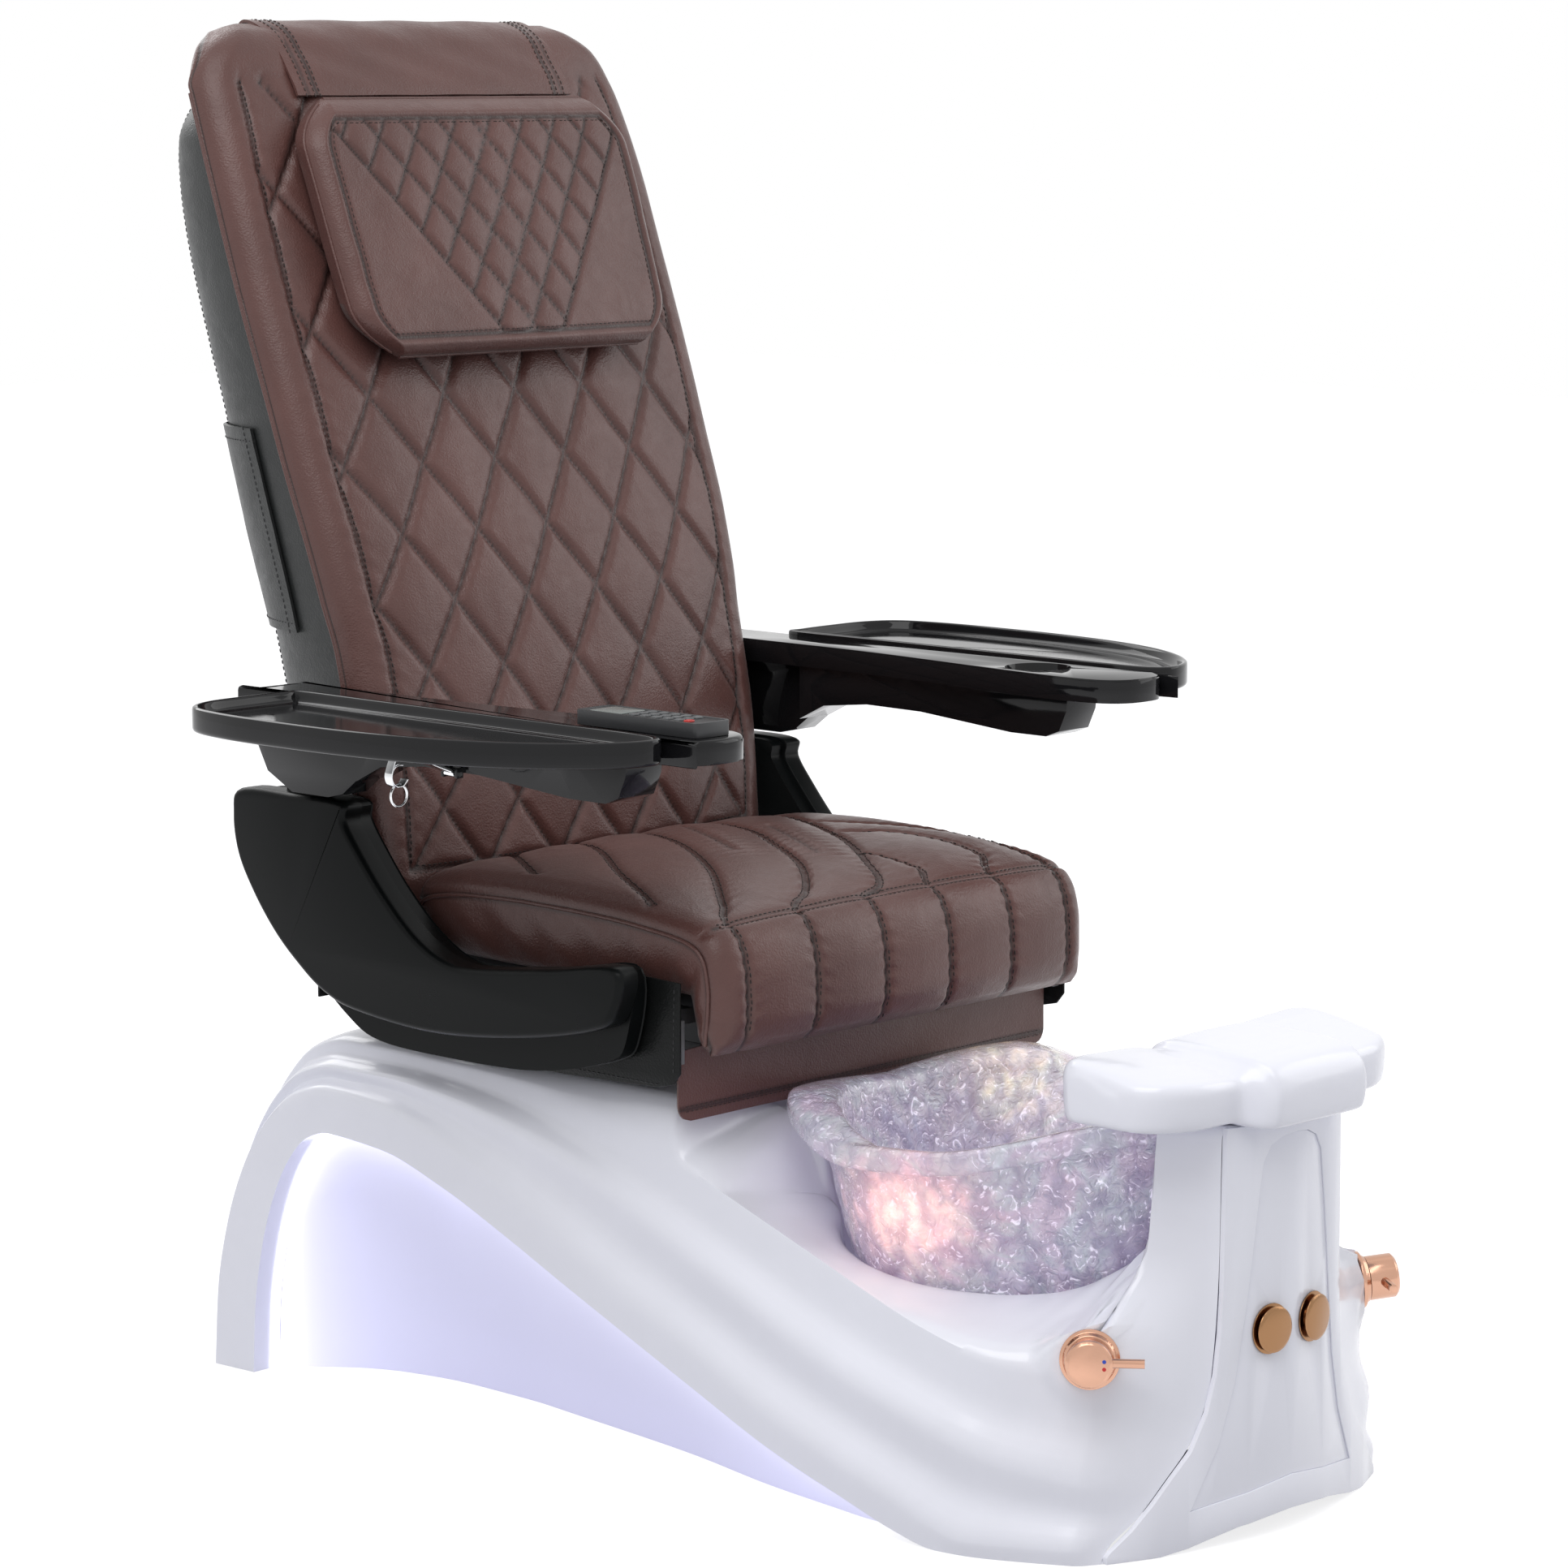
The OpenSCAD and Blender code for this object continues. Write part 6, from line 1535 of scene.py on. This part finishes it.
def pill(cx, cy, z, w, h, rise, r=2.0, sides=5):
    """Points and faces of a small rounded key lying flat."""
    ring = []
    for sx, sy, start in ((1, 1, 0), (-1, 1, 90), (-1, -1, 180), (1, -1, 270)):
        for a in np.radians(np.linspace(start, start + 90, sides)):
            ring.append([cx + sx * (w / 2 - r) + r * math.cos(a), cy + sy * (h / 2 - r) + r * math.sin(a)])
    ring = np.array(ring)
    mid = np.array([cx, cy])
    rings = [np.column_stack([mix(mid, ring, s), np.full(len(ring), z + up)])
             for s, up in ((1, 0), (1, 0.7 * rise), (0.93, rise))]
    return loft(rings, "flat")


def make_remote_keys():
    x, y, z = -326, -140, ARM_TOP + 15 - 0.5
    screen = [pill(x, y + 48, z, 36, 44, 0.8, 3)]
    piece("remote_screen", *joined(screen), hard("grey_display", (0.30, 0.34, 0.33), 0.12), "arm_right",
          (), "dark_plastic")
    wide, high, step, row_step = 9.5, 8.0, 12.5, 15.5
    keys = [pill(x + step * column, y + 13 - row_step * row, z, wide, high, 1.5)
            for row in range(5) for column in (-1, 0, 1)]
    piece("remote_keys", *joined(keys), hard("grey_keys", (0.11, 0.115, 0.12), 0.45), "arm_right",
          (), "dark_plastic")
    piece("remote_stop_key", *joined([pill(x - step, y - 62, z, wide, high, 1.7)]),
          hard("red_key", (0.50, 0.025, 0.02), 0.35), "arm_right", (), "dark_plastic")


def make_tap_marks():
    """Blue and red dots on the face of each knob, beside its lever."""
    for side, word in SIDES:
        m = np.array(tap_frame(side), float)
        a = circle(24)
        for at, name, tint in ((-3.6, "cold_mark_", (0.02, 0.07, 0.50)), (3.6, "hot_mark_", (0.60, 0.02, 0.02))):
            rings = [np.stack([at + r * np.cos(a), r * np.sin(a) - 14.5, np.full(24, z)], 1)
                     for r, z in ((1.9, 51.9), (1.9, 52.3), (1.4, 52.5))]
            rings = [ring @ m[:3, :3].T + m[:3, 3] for ring in rings]
            piece(name + word, *loft(rings, "flat"), hard(name[:-1], tint, 0.25), "tap_" + word, (), "rose_gold")


# ---------- stage ----------
def seen_directly(tree):
    """1 where the camera, a reflection or the glass looks straight at a surface."""
    ray = put(tree, "ShaderNodeLightPath").outputs
    seen = maths(tree, ray["Is Camera Ray"], ray["Is Glossy Ray"], "MAXIMUM")
    return maths(tree, seen, ray["Is Transmission Ray"], "MAXIMUM")


def make_stage():
    look = chair().stage
    scene = bpy.context.scene
    mesh = bpy.data.meshes.new("floor")
    mesh.from_pydata([(14 * x, 14 * y, -0.0005) for x, y in ((-1, -1), (1, -1), (1, 1), (-1, 1))], [],
                     [(0, 1, 2, 3)])
    made = bpy.data.materials.new("pale_floor")
    tree = blank_tree(made)
    seen = seen_directly(tree)
    matt = put(tree, "ShaderNodeBsdfDiffuse", {"Color": (*look.floor, 1)})
    glow = put(tree, "ShaderNodeEmission", {"Strength": times(tree, seen, look.floor_lift)})
    both = put(tree, "ShaderNodeAddShader", {0: matt.outputs[0], 1: glow.outputs[0]})
    put(tree, "ShaderNodeOutputMaterial", {0: both.outputs[0]})
    mesh.materials.append(made)
    floor = linked("floor", mesh)

    world = bpy.data.worlds.new("studio")
    scene.world = world
    tree = blank_tree(world)
    level = spread(tree, seen_directly(tree), 0, 1, look.ambient, 1.0)
    sky = put(tree, "ShaderNodeBackground", {"Color": (1, 1, 1, 1), "Strength": level})
    put(tree, "ShaderNodeOutputWorld", {0: sky.outputs[0]})

    for name, place, size, power in (("key", (-2.4, -1.0, 4.2), 3.4, look.key),
                                     ("fill", (3.4, -2.2, 2.4), 2.8, 0.36 * look.key),
                                     ("rim", (0.5, 3.6, 3.2), 2.4, 0.5 * look.key)):
        lamp = bpy.data.lights.new(name, "AREA")
        lamp.size = size
        lamp.energy = power
        holder = linked(name, lamp)
        holder.location = place
        holder.rotation_euler = (Vector((0, 0, 0.6)) - Vector(place)).to_track_quat("-Z", "Y").to_euler()

    lens = bpy.data.cameras.new("camera")
    lens.sensor_width = 36
    lens.lens = 114.47
    lens.clip_end = 100
    camera = linked("camera", lens)
    camera.location = (-3.79331, -3.53241, 1.41904)
    a, e = math.radians(-47.15), math.radians(8.25)
    ahead = Vector((-math.sin(a) * math.cos(e), math.cos(a) * math.cos(e), -math.sin(e)))
    camera.rotation_euler = ahead.to_track_quat("-Z", "Y").to_euler()
    scene.camera = camera
    scene.view_settings.view_transform = "Standard"


# ---------- settings ----------
def colour(name, text, default):
    return FloatVectorProperty(name=name, description=text, subtype="COLOR", size=3, min=0, max=1, default=default)


class SPA_PG_upholstery(bpy.types.PropertyGroup):
    brown: colour("Brown leather", "Colour of the seat, the back and the pillow", (0.101, 0.044, 0.038))
    black: colour("Black leather", "Colour of the skirts and the rear cover", (0.020, 0.022, 0.022))
    thread: colour("Thread", "Colour of the thread in the brown leather", (0.012, 0.007, 0.006))
    grain: FloatProperty(name="Grain", description="Pebbles of the grain in each metre", default=520, min=100)
    stitch_pitch: FloatProperty(name="Stitch pitch", description="From one stitch to the next", default=0.0068,
                                min=0.003, unit="LENGTH", subtype="DISTANCE")


class SPA_PG_base(bpy.types.PropertyGroup):
    gelcoat: colour("Gelcoat", "Colour of the moulded base and the footrest", (0.90, 0.91, 0.995))
    panel: colour("Lit panel", "Colour of the panels inside the lit recesses", (0.72, 0.72, 0.93))
    glow: colour("Glow", "Colour of the light along the recesses", (0.80, 0.80, 1.0))
    glow_strength: FloatProperty(name="Glow strength", description="Brightness of the recess light", default=0.9,
                                 min=0)
    trim: colour("Trim metal", "Colour of the taps and their flanges", (0.64, 0.37, 0.26))


class SPA_PG_bowl(bpy.types.PropertyGroup):
    warm_glow: colour("Warm glow", "Colour of the lamp behind the glass", (1.0, 0.42, 0.30))
    dimple_size: FloatProperty(name="Dimple size", description="Width of one hammered dimple", default=0.017,
                               min=0.005, unit="LENGTH", subtype="DISTANCE")
    dimple_stretch: FloatProperty(name="Dimple stretch", description="Share of a dimple's width against its height",
                                  default=0.62, min=0.2, max=2)
    dimple_depth: FloatProperty(name="Dimple depth", description="Depth of the hammered dimples", default=0.004,
                                min=0, unit="LENGTH", subtype="DISTANCE")


class SPA_PG_arms(bpy.types.PropertyGroup):
    shell: colour("Side shell", "Colour of the curved side shells", (0.004, 0.0048, 0.005))
    gloss: colour("Gloss black", "Colour of the armrests and the trays", (0.008, 0.008, 0.009))


class SPA_PG_stage(bpy.types.PropertyGroup):
    floor: colour("Floor", "Colour of the floor", (0.50, 0.50, 0.52))
    floor_lift: FloatProperty(name="Floor lift", description="Light the floor adds where it is seen", default=0.78)
    ambient: FloatProperty(name="Ambient", description="Level of the light from all sides", default=0.61, min=0)
    key: FloatProperty(name="Key lamp", description="Power of the key lamp", default=96, min=0, unit="POWER")


class SPA_PG_chair(bpy.types.PropertyGroup):
    upholstery: PointerProperty(type=SPA_PG_upholstery)
    base: PointerProperty(type=SPA_PG_base)
    bowl: PointerProperty(type=SPA_PG_bowl)
    arms: PointerProperty(type=SPA_PG_arms)
    stage: PointerProperty(type=SPA_PG_stage)


# ---------- operators ----------
class SPA_OT_stage(bpy.types.Operator):
    """Set the floor, the lamps, the world and the camera"""
    bl_idname = "spa.stage"
    bl_label = "Stage"

    def execute(self, context):
        make_stage()
        return {"FINISHED"}


class SPA_OT_base(bpy.types.Operator):
    """Mould the fluted base shell and its lit sides"""
    bl_idname = "spa.base"
    bl_label = "Moulded base"

    def execute(self, context):
        make_base_shell()
        make_lit_sides()
        return {"FINISHED"}


class SPA_OT_bowl(bpy.types.Operator):
    """Blow the hammered glass foot bowl"""
    bl_idname = "spa.bowl"
    bl_label = "Glass bowl"

    def execute(self, context):
        make_glass_bowl()
        return {"FINISHED"}


class SPA_OT_footrest(bpy.types.Operator):
    """Shape the three-lobed footrest"""
    bl_idname = "spa.footrest"
    bl_label = "Footrest"

    def execute(self, context):
        make_footrest()
        return {"FINISHED"}


class SPA_OT_hardware(bpy.types.Operator):
    """Finish the panels, taps, buttons, frames, drives and struts"""
    bl_idname = "spa.hardware"
    bl_label = "Hardware"

    def execute(self, context):
        make_hard_pieces()
        make_tap_marks()
        return {"FINISHED"}


class SPA_OT_seat(bpy.types.Operator):
    """Upholster the seat with its seams, stitches and piping"""
    bl_idname = "spa.seat"
    bl_label = "Seat cushion"

    def execute(self, context):
        make_seat_cushion()
        return {"FINISHED"}


class SPA_OT_skirts(bpy.types.Operator):
    """Hang the front flap and the skirts"""
    bl_idname = "spa.skirts"
    bl_label = "Flap and skirts"

    def execute(self, context):
        make_flap_and_skirts()
        return {"FINISHED"}


class SPA_OT_sides(bpy.types.Operator):
    """Mould the curved side shells"""
    bl_idname = "spa.sides"
    bl_label = "Side shells"

    def execute(self, context):
        make_side_shells()
        return {"FINISHED"}


class SPA_OT_back(bpy.types.Operator):
    """Upholster the quilted back cushion"""
    bl_idname = "spa.back"
    bl_label = "Back cushion"

    def execute(self, context):
        make_back_cushion()
        return {"FINISHED"}


class SPA_OT_cover(bpy.types.Operator):
    """Stretch the rear cover and its pocket"""
    bl_idname = "spa.cover"
    bl_label = "Rear cover"

    def execute(self, context):
        make_back_cover()
        return {"FINISHED"}


class SPA_OT_pillow(bpy.types.Operator):
    """Stuff the head pillow and lay its strap over the back"""
    bl_idname = "spa.pillow"
    bl_label = "Head pillow"

    def execute(self, context):
        make_head_pillow()
        make_pillow_strap()
        return {"FINISHED"}


class SPA_OT_arms(bpy.types.Operator):
    """Shape the armrest tops, the leaf trays and the remote's keys"""
    bl_idname = "spa.arms"
    bl_label = "Arms and trays"

    def execute(self, context):
        make_arm_tops()
        make_trays()
        make_remote_keys()
        return {"FINISHED"}


STEPS = (SPA_OT_stage, SPA_OT_base, SPA_OT_bowl, SPA_OT_footrest, SPA_OT_hardware, SPA_OT_seat, SPA_OT_skirts,
         SPA_OT_sides, SPA_OT_back, SPA_OT_cover, SPA_OT_pillow, SPA_OT_arms)


class SPA_PT_chair(bpy.types.Panel):
    """Steps that dress the spa chair"""
    bl_idname = "SPA_PT_chair"
    bl_label = "Spa Chair"
    bl_space_type = "VIEW_3D"
    bl_region_type = "UI"
    bl_category = "Spa Chair"

    def draw(self, context):
        for step in STEPS:
            self.layout.operator(step.bl_idname)
        for group in ("upholstery", "base", "bowl", "arms", "stage"):
            box = self.layout.box()
            settings = getattr(context.scene.spa_chair, group)
            for name in settings.__annotations__:
                box.prop(settings, name)


GROUPS = (SPA_PG_upholstery, SPA_PG_base, SPA_PG_bowl, SPA_PG_arms, SPA_PG_stage, SPA_PG_chair)
CLASSES = (*GROUPS, *STEPS, SPA_PT_chair)


def register():
    for c in CLASSES:
        bpy.utils.register_class(c)
    bpy.types.Scene.spa_chair = PointerProperty(type=SPA_PG_chair)


def unregister():
    del bpy.types.Scene.spa_chair
    for c in reversed(CLASSES):
        bpy.utils.unregister_class(c)


def main():
    register()
    for step in STEPS:
        group, name = step.bl_idname.split(".")
        getattr(getattr(bpy.ops, group), name)()


if __name__ == "__main__":
    main()
